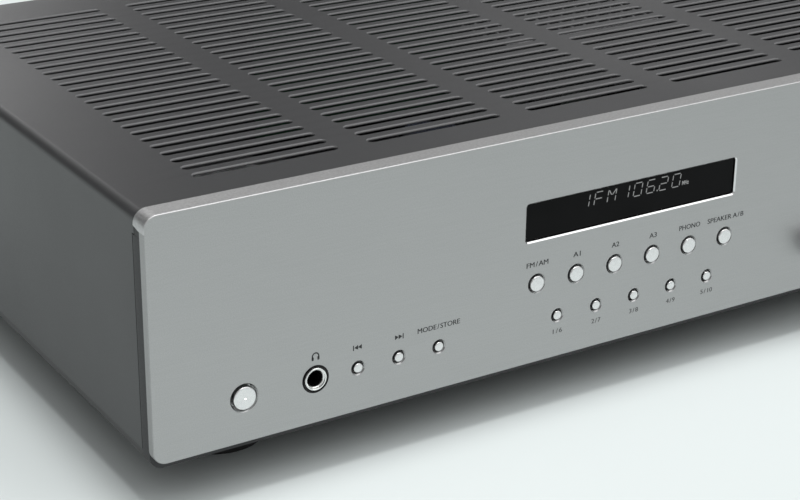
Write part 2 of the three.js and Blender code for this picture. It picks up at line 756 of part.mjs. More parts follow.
function phonoSockets(sockets) {
  const [width, height] = socketPlateSize(sockets);
  const plate = block(sockets.x, sockets.z, width, height, outside, outside + RCA.plate);
  const body = block(sockets.x, sockets.z, width - 6, height - 6, outside - RCA.inner, outside + 1);
  const places = grid(sockets, sockets.pitch, sockets.pitch);
  const end = outside + RCA.plate + RCA.length;
  const barrels = places.map(([x, z]) => rod(RCA.radius, x, z, outside + 1, end, 12));
  const bores = places.map(([x, z]) => rod(RCA.bore, x, z, outside + RCA.plate, end + 1, 6));
  return cut(join(plate, body, ...barrels), ...bores);
}

function aerialSocket() {
  const { fmX, fmRadius, z } = AERIAL;
  const end = outside + 12;
  const inner = rod(fmRadius, fmX, z, socketBoardRear + GAP, outside + 1, 16);
  const nut = rod(fmRadius + 2.5, fmX, z, outside, outside + 2, 6);
  const barrel = rod(fmRadius - 0.8, fmX, z, outside + 1, end, 20);
  return cut(join(inner, nut, barrel), rod(fmRadius / 3, fmX, z, outside + 3, end + 1, 12));
}

function aerialTerminals() {
  const { amX, amWidth, amHeight, z } = AERIAL;
  const plate = block(amX, z, amWidth + 8, amHeight + 8, outside, outside + 3);
  const body = block(amX, z, amWidth, amHeight, socketBoardRear + GAP, outside + 1);
  const screws = [-amWidth / 3, amWidth / 3].map((dx) => rod(3.4, amX + dx, z, outside + 2, outside + 9, 12));
  return join(plate, body, ...screws);
}

function speakerTerminalBlock() {
  const { width, height, thick } = SPEAKER_PLATE;
  const { stud, collar, collarEnd, studBehindCap } = BINDING_POST;
  const places = grid(SPEAKERS, SPEAKERS.pitchX, SPEAKERS.pitchZ);
  const plate = block(SPEAKERS.x, SPEAKERS.z, width, height, outside, outside + thick);
  const body = block(SPEAKERS.x, SPEAKERS.z, width - 22, height - 20, outside - 12, outside + 1);
  const collars = places.map(([x, z]) => rod(collar, x, z, outside + thick - 1, outside + collarEnd, 12));
  const studEnd = DEPTH / 2 - studBehindCap;
  const studs = places.map(([x, z]) => rod(stud, x, z, outside + collarEnd - 1, studEnd, 8));
  return join(plate, body, ...collars, ...studs);
}

function bindingCap(x, z) {
  const { stud, cap: outer, capLength } = BINDING_POST;
  const end = DEPTH / 2;
  const start = end - capLength;
  const bore = stud + GAP;
  const profile = [
    [bore, start],
    [outer - 0.6, start],
    [outer, start + 0.6],
    [outer, end - 4],
    [outer - 1.5, end],
    [bore, end],
    [bore, start],
  ];
  return turnedY(profile, x, z, 12);
}

function addBindingCaps() {
  grid(SPEAKERS, SPEAKERS.pitchX, SPEAKERS.pitchZ).forEach(([x, z], i) => {
    const finish = i < SPEAKERS.columns ? blackPlastic : redPlastic;
    add(`binding_cap_${i + 1}`, bindingCap(x, z), finish);
  });
}

function mainsInlet() {
  const { width, height, flange, rim, mouthWidth, mouthHeight, depth } = INLET;
  const { x, inletZ: z } = MAINS;
  const mouth = outside + rim;
  const frame = block(x, z, width + 2 * flange, height + 2 * flange, outside, mouth);
  const body = block(x, z, width, height, mouth - depth - 3, outside + 1);
  const hollow = block(x, z, mouthWidth, mouthHeight, mouth - depth, mouth + 1);
  const { spread, drop, rise } = BLADES;
  const places = [[-spread, -drop], [0, rise], [spread, -drop]];
  const blades = places.map(([dx, dz]) => {
    return block(x + dx, z + dz, BLADES.width, BLADES.height, mouth - depth - 1, mouth - BLADES.setBack);
  });
  return join(cut(join(frame, body), hollow), ...blades);
}

function mainsSwitch() {
  const { width, height, depth } = SWITCH_BODY;
  const { x, switchZ: z } = MAINS;
  const frame = block(x, z, width + 5, height + 5, outside, outside + 2);
  const shell = block(x, z, width, height, outside - depth, outside + 1);
  const wellHeight = ROCKER.height + 2.6;
  const well = block(x, z, ROCKER.width + 1.4, wellHeight, outside - SWITCH_BODY.well, outside + 3);
  return cut(join(frame, shell), well);
}

function mainsRocker() {
  const { width, height, tilt, pivotDepth, depth } = ROCKER;
  const half = height / 2;
  const outline = polygon([
    [-depth / 2, -half * 0.5],
    [depth * 0.2, -half],
    [depth * 0.5, -half],
    [depth * 0.25, 0],
    [depth * 0.5, half],
    [depth * 0.2, half],
    [-depth / 2, half * 0.5],
  ]);
  const rocker = alongX(outline, -width / 2, width / 2);
  rocker.rotateX(THREE.MathUtils.degToRad(tilt));
  return rocker.translate(MAINS.x, outside - pivotDepth, MAINS.switchZ);
}

// ---------------------------------------------------------------- the receiver

add('top_cover', topCover(), coverPaint);
add('front_fascia', frontFascia(), brushedAluminium);
add('front_subframe', frontSubframe(), framePlastic);
add('base_pan', basePan(), zincSteel);
add('rear_panel', rearPanel(), coverPaint);
addFeet();
add('display_window', displayWindow(), darkGlass);
add('display_module', displayModule(), darkGlass);
for (const place of buttonPlaces()) {
  add(place.name, button(place), satinMetal);
}
addKnobs();
add('volume_control', volumeControl(), nickel);
add('tone_board', toneBoard(), circuitBoard);
add('control_board', controlBoard(), circuitBoard);
add('headphone_jack', headphoneJack(), blackPlastic);
add('transformer', transformer(), windingTape);
add('transformer_clamp', transformerClamp(), zincSteel);
add('heat_sink', heatSink(), brushedAluminium);
add('output_transistor_left', outputTransistor(SINK.x - TRANSISTOR.offset), blackPlastic);
add('output_transistor_right', outputTransistor(SINK.x + TRANSISTOR.offset), blackPlastic);
add('reservoir_capacitor_front', reservoirCapacitor(CAPACITOR.frontY), capacitorSleeve);
add('reservoir_capacitor_rear', reservoirCapacitor(CAPACITOR.rearY), capacitorSleeve);
add('amplifier_board', amplifierBoard(), circuitBoard);
add('input_board', inputBoard(), circuitBoard);
add('tuner_module', tunerModule(), nickel);
add('line_input_sockets', phonoSockets(LINE_SOCKETS), blackPlastic);
add('output_sockets', phonoSockets(OUTPUT_SOCKETS), blackPlastic);
add('fm_aerial_socket', aerialSocket(), nickel);
add('am_aerial_terminals', aerialTerminals(), blackPlastic);
add('speaker_terminal_block', speakerTerminalBlock(), blackPlastic);
addBindingCaps();
add('mains_inlet', mainsInlet(), blackPlastic);
add('mains_switch', mainsSwitch(), blackPlastic);
add('mains_rocker', mainsRocker(), blackPlastic);

export default receiver;
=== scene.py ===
import math

import bmesh
import bpy
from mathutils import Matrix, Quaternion, Vector
from mathutils.geometry import tessellate_polygon


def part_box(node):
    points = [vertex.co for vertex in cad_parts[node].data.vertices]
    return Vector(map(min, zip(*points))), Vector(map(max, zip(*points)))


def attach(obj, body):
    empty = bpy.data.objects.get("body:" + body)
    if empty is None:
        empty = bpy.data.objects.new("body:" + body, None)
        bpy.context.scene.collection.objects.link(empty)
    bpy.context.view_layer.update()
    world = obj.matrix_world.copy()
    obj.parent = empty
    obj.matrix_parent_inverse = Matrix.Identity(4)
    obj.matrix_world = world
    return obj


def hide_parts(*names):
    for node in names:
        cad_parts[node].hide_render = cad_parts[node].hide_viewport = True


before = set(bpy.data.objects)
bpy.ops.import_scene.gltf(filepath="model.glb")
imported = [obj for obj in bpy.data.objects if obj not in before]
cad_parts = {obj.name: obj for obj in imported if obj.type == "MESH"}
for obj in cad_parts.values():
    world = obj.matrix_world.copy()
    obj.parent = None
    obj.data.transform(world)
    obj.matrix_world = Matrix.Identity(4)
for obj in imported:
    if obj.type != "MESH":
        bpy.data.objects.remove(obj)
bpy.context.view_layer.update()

MM = 0.001
CHASSIS = "chassis"


class Box:
    """Where a CAD node is, in millimetres."""

    def __init__(self, node):
        low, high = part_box(node)
        self.left, self.front, self.bottom = low / MM
        self.right, self.rear, self.top = high / MM
        self.x = (self.left + self.right) / 2
        self.y = (self.front + self.rear) / 2
        self.z = (self.bottom + self.top) / 2


# ---- outlines


def arc(u, v, radius, start, end, steps):
    """Points on an arc, with the angles in quarter turns."""
    turns = [start + (end - start) * i / steps for i in range(steps + 1)]
    return [(u + radius * math.cos(t * math.pi / 2), v + radius * math.sin(t * math.pi / 2)) for t in turns]


def circle(u, v, radius, steps=32):
    return arc(u, v, radius, 0, 4, steps)[:-1]


def rounded(left, right, bottom, top, radius, steps=8):
    return [
        *arc(right - radius, top - radius, radius, 0, 1, steps),
        *arc(left + radius, top - radius, radius, 1, 2, steps),
        *arc(left + radius, bottom + radius, radius, 2, 3, steps),
        *arc(right - radius, bottom + radius, radius, 3, 4, steps),
    ]


def around(u, v, width, height, radius, steps=6):
    return rounded(u - width / 2, u + width / 2, v - height / 2, v + height / 2, radius, steps)


def outline_of(box, radius, margin=0):
    """A box's outline as seen from in front, less a margin in its width and height."""
    return around(box.x, box.z, box.right - box.left - margin, box.top - box.bottom - margin, radius)


def slot(u, v, length, width, steps=6):
    r = width / 2
    return [*arc(u + length / 2 - r, v, r, -1, 1, steps), *arc(u - length / 2 + r, v, r, 1, 3, steps)]


def inset(loop, distance):
    """An anticlockwise loop moved inwards by a distance, with its corners mitred."""
    moved = []
    for i, (u, v) in enumerate(loop):
        before, after = loop[i - 1], loop[(i + 1) % len(loop)]
        d1 = Vector((u - before[0], v - before[1])).normalized()
        d2 = Vector((after[0] - u, after[1] - v)).normalized()
        n1, n2 = Vector((-d1.y, d1.x)), Vector((-d2.y, d2.x))
        step = (n1 + n2) * (distance / (1 + n1.dot(n2)))
        moved.append((u + step.x, v + step.y))
    return moved


def ring(loop, depth):
    return [(u, v, depth) for u, v in loop]


def rounding(radius, steps):
    """How far in and how deep each step of a rounded edge lies, from the face to the wall."""
    turns = [math.pi / 2 * i / steps for i in range(steps + 1)]
    return [(radius * (1 - math.sin(t)), radius * (1 - math.cos(t))) for t in turns]


def wall(loop, start, end, front=0.3, rear=0.3, steps=3, hole=False):
    """The rings of a plate's edge, or of a hole in it, from the face at start to the face at end."""
    inwards = -1 if hole else 1

    def edge(radius, face, way):
        if not radius:
            return [ring(loop, face)]
        return [ring(inset(loop, inwards * i), face + way * d) for i, d in rounding(radius, steps)]

    return edge(front, start, 1) + edge(rear, end, -1)[::-1]


# ---- solids


def along_y(y=0.0):
    return lambda u, v, d: (u, y + d, v)


def back_along_y(y):
    return lambda u, v, d: (u, y - d, v)


def placed(name, data):
    """A new object in the scene."""
    obj = bpy.data.objects.new(name, data)
    bpy.context.scene.collection.objects.link(obj)
    return obj


class Shape:
    """Closed solids in millimetres, gathered before they become one mesh."""

    def __init__(self):
        self.points = []
        self.faces = []
        self.finishes = []

    def add(self, points, faces, finish=0):
        start = len(self.points)
        self.points += [tuple(p) for p in points]
        self.faces += [tuple(start + i for i in face) for face in faces]
        self.finishes += finish if isinstance(finish, list) else [finish] * len(faces)
        return self

    def slab(self, outline, place=along_y(), holes=(), pockets=(), finish=0, cuts=()):
        """A plate with holes through it and blind pockets in its front face. Each is a list of rings from the
        front to the rear, a ring is a list of (across, up, depth), and place turns those into a point.
        The walls of the holes, but for their last step, can take finishes of their own, called cuts."""
        points, faces, finishes, starts = [], [], [], []
        walls = [outline, *holes, *pockets]
        for number, rings in enumerate(walls):
            cut = cuts[number - 1] if number and cuts else finish
            starts.append(len(points))
            count = len(rings[0])
            for level, loop in enumerate(rings):
                first = len(points)
                points += loop
                if level:
                    for i in range(count):
                        j = (i + 1) % count
                        faces.append((first - count + i, first - count + j, first + j, first + i))
                        finishes.append(cut if level < len(rings) - 1 else finish)

        def cap(indices, end):
            loops, numbers = [], []
            for w in indices:
                rings = walls[w]
                offset = starts[w] + (len(rings) - 1) * len(rings[0]) * (end == -1)
                loops.append([Vector((u, v, 0)) for u, v, _ in rings[end]])
                numbers += [offset + i for i in range(len(rings[0]))]
            faces.extend(tuple(numbers[i] for i in triangle) for triangle in tessellate_polygon(loops))

        through = 1 + len(holes)
        cap(range(len(walls)), 0)
        cap(range(through), -1)
        for w in range(through, len(walls)):
            cap([w], -1)
        finishes += [finish] * (len(faces) - len(finishes))
        return self.add([place(*p) for p in points], faces, finishes)

    def lathe(self, profile, x, across, axis="Y", steps=48, finish=0):
        """A turned solid about an axis through x and z (axis Y) or x and y (axis Z). The profile is (radius,
        along) pairs that start and end on the axis, or that close on themselves."""
        points, faces, rows = [], [], []
        for radius, along in profile:
            count = steps if radius > 1e-6 else 1
            rows.append((len(points), count))
            for i in range(count):
                angle = 2 * math.pi * i / steps
                a, b = x + radius * math.cos(angle), across + radius * math.sin(angle)
                points.append((a, along, b) if axis == "Y" else (a, b, along))
        closed = profile[0][0] > 1e-6
        pairs = list(zip(rows, rows[1:])) + ([(rows[-1], rows[0])] if closed else [])
        for (a, many_a), (b, many_b) in pairs:
            for i in range(steps):
                j = (i + 1) % steps
                quad = [a + i % many_a, a + j % many_a, b + j % many_b, b + i % many_b]
                corners = list(dict.fromkeys(quad))
                if len(corners) > 2:
                    faces.append(tuple(corners))
        return self.add(points, faces, finish)

    def block(self, left, right, front, rear, bottom, top, edge=0.3, finish=0):
        loop = rounded(left, right, bottom, top, edge, 3)
        return self.slab(wall(loop, front, rear, edge * 0.99, edge * 0.99), finish=finish)

    def lettering(self, text, x, z, height, y, width=None, facing="front", finish=0, bold=0.0):
        """Printed letters centred on x, with capitals of that height standing on z."""
        curve = bpy.data.curves.new("lettering", "FONT")
        curve.body = text
        curve.extrude = 0.01
        curve.offset = bold
        curve.space_word = 0.45
        curve.resolution_u = 3
        holder = placed("lettering", curve)
        mesh = bpy.data.meshes.new_from_object(holder.evaluated_get(bpy.context.evaluated_depsgraph_get()))
        corners = [v.co for v in mesh.vertices]
        across = [c.x for c in corners]
        middle, span = (min(across) + max(across)) / 2, max(across) - min(across)
        up = height / LETTER_HEIGHT
        scale = width / span if width else up
        side = 1 if facing == "front" else -1
        points = [(x + side * (c.x - middle) * scale, y - side * c.z, z + c.y * up) for c in corners]
        self.add(points, [tuple(p.vertices) for p in mesh.polygons], finish)
        bpy.data.objects.remove(holder)
        bpy.data.curves.remove(curve)
        bpy.data.meshes.remove(mesh)
        return self


LETTER_HEIGHT = 0.69  # capitals of the built-in font, as a share of its size


def piece(name, shape, finishes, replaces=(), body=CHASSIS, centre=(0, 0, 0), crease=32):
    """Makes the mesh of a shape, riding on a CAD body. Its origin is put at centre."""
    mesh = bpy.data.meshes.new(name)
    origin = Vector(centre)
    mesh.from_pydata([(Vector(p) - origin) * MM for p in shape.points], [], shape.faces)
    for finish in finishes:
        mesh.materials.append(finish)
    mesh.polygons.foreach_set("material_index", shape.finishes)
    tidy = bmesh.new()
    tidy.from_mesh(mesh)
    bmesh.ops.remove_doubles(tidy, verts=tidy.verts, dist=1e-6)
    bmesh.ops.dissolve_degenerate(tidy, edges=tidy.edges, dist=1e-7)
    bmesh.ops.recalc_face_normals(tidy, faces=tidy.faces)
    tidy.to_mesh(mesh)
    tidy.free()
    mesh.shade_smooth()
    mesh.set_sharp_from_angle(angle=math.radians(crease))
    obj = placed(name, mesh)
    obj.location = origin * MM
    weighted = obj.modifiers.new("weighted", "WEIGHTED_NORMAL")
    weighted.keep_sharp = True
    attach(obj, body)
    if replaces:
        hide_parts(*replaces)
    return obj


# ---- finishes


def add_node(tree, kind, inputs=None, **settings):
    """A shader node whose inputs are values or the outputs of other nodes."""
    made = tree.nodes.new(kind)
    for key, value in settings.items():
        setattr(made, key, value)
    for key, value in (inputs or {}).items():
        if isinstance(value, bpy.types.NodeSocket):
            tree.links.new(value, made.inputs[key])
        else:
            made.inputs[key].default_value = value
    return made


def map_range(tree, value, from_low, from_high, low, high):
    inputs = {"Value": value, "From Min": from_low, "From Max": from_high, "To Min": low, "To Max": high}
    return add_node(tree, "ShaderNodeMapRange", inputs).outputs["Result"]


class Finish:
    """A Principled material whose colour, roughness and bump follow procedural patterns."""

    def __init__(self, name, color, roughness, metallic=0.0, **sockets):
        self.material = bpy.data.materials.new(name)
        self.material.use_nodes = True
        self.tree = self.material.node_tree
        self.shader = self.tree.nodes["Principled BSDF"]
        self.color = color
        self.shader.inputs["Base Color"].default_value = (*color, 1)
        self.shader.inputs["Roughness"].default_value = roughness
        self.shader.inputs["Metallic"].default_value = metallic
        for socket, value in sockets.items():
            self.shader.inputs[socket.replace("_", " ")].default_value = value
        self.place = self.node("ShaderNodeTexCoord").outputs["Object"]

    def node(self, kind, inputs=None, **settings):
        return add_node(self.tree, kind, inputs, **settings)

    def stretched(self, x=1.0, y=1.0, z=1.0):
        return self.node("ShaderNodeMapping", {"Vector": self.place, "Scale": (x, y, z)}).outputs["Vector"]

    def noise(self, scale, detail=3.0, place=None, roughness=0.5):
        inputs = {"Vector": place or self.place, "Scale": scale, "Detail": detail, "Roughness": roughness}
        return self.node("ShaderNodeTexNoise", inputs).outputs["Fac"]

    def spread(self, value, low, high, from_low=0.3, from_high=0.7):
        """A pattern's value, taken from its own range to another."""
        return map_range(self.tree, value, from_low, from_high, low, high)

    def math(self, operation, a, b):
        return self.node("ShaderNodeMath", {0: a, 1: b}, operation=operation).outputs["Value"]

    def tint(self, amount, dark, light):
        """Colour that goes from dark to light times the base colour as the amount goes from 0 to 1."""
        ends = {6: (*(c * dark for c in self.color), 1), 7: (*(c * light for c in self.color), 1)}
        mixed = self.node("ShaderNodeMix", {0: amount, **ends}, data_type="RGBA")
        self.tree.links.new(mixed.outputs[2], self.shader.inputs["Base Color"])
        return mixed.outputs[2]

    def shade(self, pattern, dark, light):
        return self.tint(self.spread(pattern, 0, 1), dark, light)

    def blend(self, amount, color):
        """Another colour laid over what there is, by an amount from 0 to 1."""
        base = self.shader.inputs["Base Color"]
        below = base.links[0].from_socket if base.links else tuple(base.default_value)
        mixed = self.node("ShaderNodeMix", {0: amount, 6: below, 7: (*color, 1)}, data_type="RGBA")
        self.tree.links.new(mixed.outputs[2], base)

    def gloss(self, value, cloud=None, low=0.0, high=0.0):
        """Roughness that follows a pattern, with a slow drift from low to high along a second one."""
        if cloud:
            value = self.math("ADD", value, self.spread(cloud, low, high))
        self.tree.links.new(value, self.shader.inputs["Roughness"])

    def bump(self, height, distance, strength=1.0):
        """Relief of a height pattern, with its distance in millimetres."""
        socket = self.shader.inputs["Normal"]
        inputs = {"Height": height, "Distance": distance * MM, "Strength": strength}
        if socket.links:
            inputs["Normal"] = socket.links[0].from_socket
        self.tree.links.new(self.node("ShaderNodeBump", inputs).outputs["Normal"], socket)


def cover_paint(name, color):
    finish = Finish(name, color, 0.36, IOR=1.4)
    grain = finish.noise(2600, 2)
    cloud = finish.noise(14, 4)
    finish.shade(grain, 0.84, 1.16)
    finish.gloss(finish.spread(grain, 0.31, 0.41), cloud, -0.02, 0.03)
    finish.bump(grain, 0.012)
    return finish.material


def fascia_aluminium(name, grey, roughness, relief, brushing, grain_scale):
    finish = Finish(name, (grey, grey, grey), roughness, 1.0)
    grain = finish.noise(grain_scale, 2)
    streaks = finish.noise(1, 3, finish.stretched(60, 60, 2600))
    cloud = finish.noise(9, 3)
    blasted = finish.math("MULTIPLY", grain, 1 - brushing)
    mixed = finish.math("ADD", blasted, finish.math("MULTIPLY", streaks, brushing))
    finish.shade(mixed, 0.9, 1.1)
    finish.gloss(finish.spread(mixed, roughness - 0.05, roughness + 0.05), cloud, -0.015, 0.015)
    finish.bump(mixed, relief)
    return finish.material


def turned_metal(name, color, roughness, pitch=0.16):
    """Metal with the fine rings that a lathe leaves about the piece's own Y axis."""
    finish = Finish(name, color, roughness, 1.0)
    inputs = {"Vector": finish.place, "Scale": 1 / (pitch * MM) / 6.28, "Distortion": 0.4, "Detail": 1.0}
    rings = finish.node("ShaderNodeTexWave", inputs, wave_type="RINGS", rings_direction="Y").outputs["Fac"]
    grain = finish.noise(1800, 2)
    finish.shade(grain, 0.95, 1.05)
    finish.gloss(finish.spread(rings, roughness - 0.04, roughness + 0.05, 0, 1))
    finish.bump(rings, 0.002)
    return finish.material


def moulded(name, color, roughness, grain_bump=0.008, grain_scale=1500, **sockets):
    """Moulded plastic or rubber with a fine sparked grain."""
    finish = Finish(name, color, roughness, 0.0, **sockets)
    grain = finish.noise(grain_scale, 3)
    cloud = finish.noise(30, 3)
    finish.shade(cloud, 0.88, 1.12)
    finish.gloss(finish.spread(grain, roughness - 0.05, roughness + 0.05), cloud, -0.03, 0.03)
    finish.bump(grain, grain_bump)
    return finish.material


def plated(name, color, roughness, cell=4.0, contrast=0.1):
    """Plated sheet or turned metal, with the soft patches that zinc and nickel show."""
    finish = Finish(name, color, roughness, 1.0)
    inputs = {"Vector": finish.place, "Scale": 1 / (cell * MM)}
    patches = finish.node("ShaderNodeTexVoronoi", inputs).outputs["Color"]
    tone = finish.node("ShaderNodeSeparateColor", {"Color": patches}).outputs["Red"]
    grain = finish.noise(1500, 3)
    finish.tint(tone, 1 - contrast, 1 + contrast)
    finish.gloss(finish.spread(tone, roughness - 0.06, roughness + 0.06, 0, 1), grain, -0.03, 0.03)
    finish.bump(grain, 0.004)
    return finish.material


def window_acrylic():
    finish = Finish("window_acrylic", (0.0035, 0.0035, 0.0037), 0.06, 0.0, IOR=1.16)
    haze = finish.noise(45, 4)
    finish.shade(haze, 0.8, 1.3)
    finish.gloss(finish.spread(haze, 0.05, 0.12))
    finish.bump(finish.noise(12, 1), 0.01)
    return finish.material


def circuit_board():
    finish = Finish("circuit_board", (0.009, 0.045, 0.02), 0.42)
    tracks = {"Scale": 260.0, "Mortar Size": 0.03, "Brick Width": 1.3, "Row Height": 0.35}
    copper = finish.node("ShaderNodeTexBrick", {"Vector": finish.place, **tracks}).outputs["Fac"]
    finish.tint(finish.noise(90, 3), 0.8, 1.25)
    finish.blend(finish.math("MULTIPLY", copper, 0.5), (0.018, 0.09, 0.036))
    finish.gloss(finish.spread(finish.noise(700, 2), 0.36, 0.5))
    finish.bump(copper, 0.03)
    return finish.material


def transformer_tape():
    """Black polyester tape wound round the ring, one turn beside the next."""
    finish = Finish("transformer_tape", (0.02, 0.02, 0.021), 0.35)
    inputs = {"Vector": finish.place, "Scale": 110.0, "Distortion": 1.5, "Detail": 2.0}
    turns = finish.node("ShaderNodeTexWave", inputs, bands_direction="DIAGONAL").outputs["Fac"]
    finish.tint(turns, 0.7, 1.15)
    finish.gloss(finish.spread(finish.noise(400, 3), 0.28, 0.45))
    finish.bump(turns, 0.15)
    return finish.material


def sink_aluminium():
    finish = Finish("sink_aluminium", (0.5, 0.5, 0.51), 0.38, 1.0)
    streaks = finish.noise(1, 3, finish.stretched(1800, 1800, 30))
    finish.shade(streaks, 0.85, 1.12)
    finish.gloss(finish.spread(streaks, 0.3, 0.46))
    finish.bump(streaks, 0.01)
    return finish.material


def printed_ink(name, color):
    finish = Finish(name, color, 0.55)
    speck = finish.noise(5000, 2)
    finish.shade(speck, 0.85, 1.15)
    finish.gloss(finish.spread(speck, 0.45, 0.65))
    return finish.material


def glowing(name, color, strength):
    finish = Finish(name, color, 0.4, 0.0, Emission_Strength=strength)
    lit = finish.shade(finish.noise(3000, 2), 0.75, 1.15)
    finish.tree.links.new(lit, finish.shader.inputs["Emission Color"])
    return finish.material


PAINT = cover_paint("cover_paint", (0.043, 0.0435, 0.045))
# A lighter copy of the cover's paint for the slots' walls and rounded edges: a painted highlight along each
# slot.
VENT_HIGHLIGHT_PAINT = cover_paint("vent_painted_highlight", (0.14, 0.141, 0.144))
# Black paint made darker than the cover's, for the base tray: painted shade for the inside seen through the
# slots.
INNER_SHADE_PAINT = cover_paint("inner_painted_shade", (0.015, 0.015, 0.016))
ALUMINIUM = fascia_aluminium("fascia_aluminium", 0.415, 0.35, 0.01, 0.2, 2400)
# A lighter copy of the fascia's aluminium, with a blasted grain, for the lip's top: painted light.
BLASTED_LIT = fascia_aluminium("fascia_blasted_lit", 0.55, 0.5, 0.12, 0.0, 1000)
# A darker copy with a sawn grain, for the plate's sides: painted shade.
SAWN_SHADED = fascia_aluminium("fascia_side_shaded", 0.36, 0.45, 0.03, 0.3, 1500)
FRAME_PLASTIC = moulded("frame_plastic", (0.048, 0.048, 0.05), 0.5, IOR=1.3)
ZINC = plated("zinc_steel", (0.5, 0.51, 0.52), 0.4)
WINDOW = window_acrylic()
GLASS = moulded("display_glass", (0.02, 0.02, 0.022), 0.15, 0.001)
BUTTON_METAL = turned_metal("button_metal", (0.78, 0.78, 0.78), 0.3)
# A darker turned metal for the walls of the fascia's holes: painted shade in the holes.
CUT_HOLE_SHADE = turned_metal("cut_hole_painted_shade", (0.36, 0.36, 0.36), 0.2)
CUT_EDGE = turned_metal("cut_edge", (0.72, 0.72, 0.72), 0.22)
JACK_METAL = turned_metal("jack_metal", (0.8, 0.8, 0.79), 0.2)
KNOB_METAL = turned_metal("knob_metal", (0.46, 0.46, 0.465), 0.3, 0.22)
GLOSS_BLACK = moulded("jack_plastic", (0.006, 0.006, 0.0062), 0.22, 0.003, IOR=1.3)
BOARD = circuit_board()
TAPE = transformer_tape()
SINK = sink_aluminium()
SLEEVE = moulded("capacitor_sleeve", (0.012, 0.016, 0.03), 0.25, 0.004)
NICKEL = plated("nickel_plate", (0.62, 0.6, 0.56), 0.24, 1.5, 0.05)
BLACK_PLASTIC = moulded("socket_plastic", (0.014, 0.014, 0.015), 0.42)
RUBBER = moulded("foot_rubber", (0.013, 0.013, 0.013), 0.75, 0.03, 900)
RED_PLASTIC = moulded("cap_red", (0.36, 0.012, 0.01), 0.3, 0.004, Coat_Weight=0.2)
CAP_BLACK = moulded("cap_black", (0.011, 0.011, 0.0115), 0.3, 0.004, Coat_Weight=0.2)
WHITE_PLASTIC = moulded("white_plastic", (0.65, 0.64, 0.6), 0.35)
BLACK_SCREW = plated("black_screw", (0.05, 0.05, 0.052), 0.35, 1.0, 0.15)
INK = printed_ink("ink_dark", (0.01, 0.01, 0.0105))
THIN_INK = printed_ink("ink_grey", (0.07, 0.07, 0.071))
WHITE_INK = printed_ink("ink_white", (0.55, 0.55, 0.55))
READOUT = glowing("readout", (0.2, 0.2, 0.2), 0.55)
LAMP = glowing("lamp", (1.0, 1.0, 1.0), 2.5)

# ---- cover, fascia and frame

fascia = Box("front_fascia")
cover = Box("top_cover")
subframe = Box("front_subframe")
base = Box("base_pan")
panel = Box("rear_panel")
FACE = fascia.front

SHEET = 1.0
BEND = 4.0
BEND_STEPS = 10
VENT_COLUMNS = 5
VENT_ROWS = 26
VENT_LENGTH = 62.6
VENT_WIDTH = 4.3
VENT_ROUNDING = 0.7
VENT_PITCH_X = 75.0
VENT_PITCH_Y = 8.9
VENT_START = 30.6


def vent_places():
    for column in range(VENT_COLUMNS):
        for row in range(VENT_ROWS):
            yield (column - (VENT_COLUMNS - 1) / 2) * VENT_PITCH_X, FACE + VENT_START + row * VENT_PITCH_Y


def folded(points, flat, top):
    """A flat sheet's points, with both sides folded down round the bends."""
    quarter = BEND * math.pi / 2
    for s, y, depth in points:
        side = math.copysign(1, s)
        past = abs(s) - flat
        if past <= 0:
            yield s, y, top - depth
        elif past < quarter:
            angle, reach = past / BEND, BEND - depth
            yield side * (flat + reach * math.sin(angle)), y, top - BEND + reach * math.cos(angle)
        else:
            yield side * (flat + BEND - depth), y, top - BEND - (past - quarter)


def vent(x, y):
    """The rings of a slot. Its front edge is sharp, and its rear edge is drawn down by the punch."""
    rings = []
    for i, depth in rounding(VENT_ROUNDING, 4):
        rings.append(ring(slot(x, y + i / 2, VENT_LENGTH - 1 + i * 0.5, VENT_WIDTH + i), depth))
    return [*rings, ring(slot(x, y, VENT_LENGTH - 1, VENT_WIDTH), SHEET)]


def make_cover():
    """The steel cover: cut flat with its slots, then folded down at both sides."""
    flat = cover.right - BEND
    drop = cover.top - BEND - cover.bottom
    reach = flat + BEND * math.pi / 2 + drop
    step = reach - (SIDE_STEP_Z - cover.bottom)
    side_front = subframe.rear + 0.02
    outline = [
        (-step, cover.front), (step, cover.front), (step, side_front), (reach, side_front),
        (reach, cover.rear), (-reach, cover.rear), (-reach, side_front), (-step, side_front),
    ]
    sheet = Shape()
    slots = [vent(x, y) for x, y in vent_places()]
    edges = wall(outline, 0, SHEET, 0.18, 0.18, 2)
    # The slots' walls and rounded edges take the lighter paint, a painted highlight.
    sheet.slab(edges, lambda u, v, d: (u, v, d), slots, cuts=[1] * len(slots))
    net = bmesh.new()
    corners = [net.verts.new(p) for p in sheet.points]
    for face, finish in zip(sheet.faces, sheet.finishes):
        net.faces.new([corners[i] for i in face]).material_index = finish
    for side in (-1, 1):
        for i in range(BEND_STEPS + 1):
            across = side * (flat + BEND * math.pi / 2 * i / BEND_STEPS)
            geometry = [*net.verts, *net.edges, *net.faces]
            bmesh.ops.bisect_plane(net, geom=geometry, dist=1e-5, plane_co=(across, 0, 0), plane_no=(1, 0, 0))
    net.verts.index_update()
    shape = Shape()
    finishes = [face.material_index for face in net.faces]
    faces = [[v.index for v in face.verts] for face in net.faces]
    shape.add(folded([v.co for v in net.verts], flat, cover.top), faces, finishes)
    net.free()
    piece("cover", shape, [PAINT, VENT_HIGHLIGHT_PAINT], ["top_cover"], crease=28)


LIP_SHEET = 2.0
PLATE = 4.0
FASCIA_CORNER = 5.5
LIP_LOW = fascia.top - 6.8
LIP_SLOPE = 1.0
SIDE_STEP_Z = 110.4

LOW_ROW_Z = Box("preset_button_1").z
SOURCE_ROW_Z = Box("source_button_1").z
SOURCES = [f"source_button_{i}" for i in range(1, 7)]
PRESETS = [f"preset_button_{i}" for i in range(1, 6)]
SMALL_BUTTONS = ["skip_back_button", "skip_forward_button", "mode_button"]
TONE_KNOBS = ["bass_knob", "treble_knob", "balance_knob"]
WINDOW_EDGE = 0.55
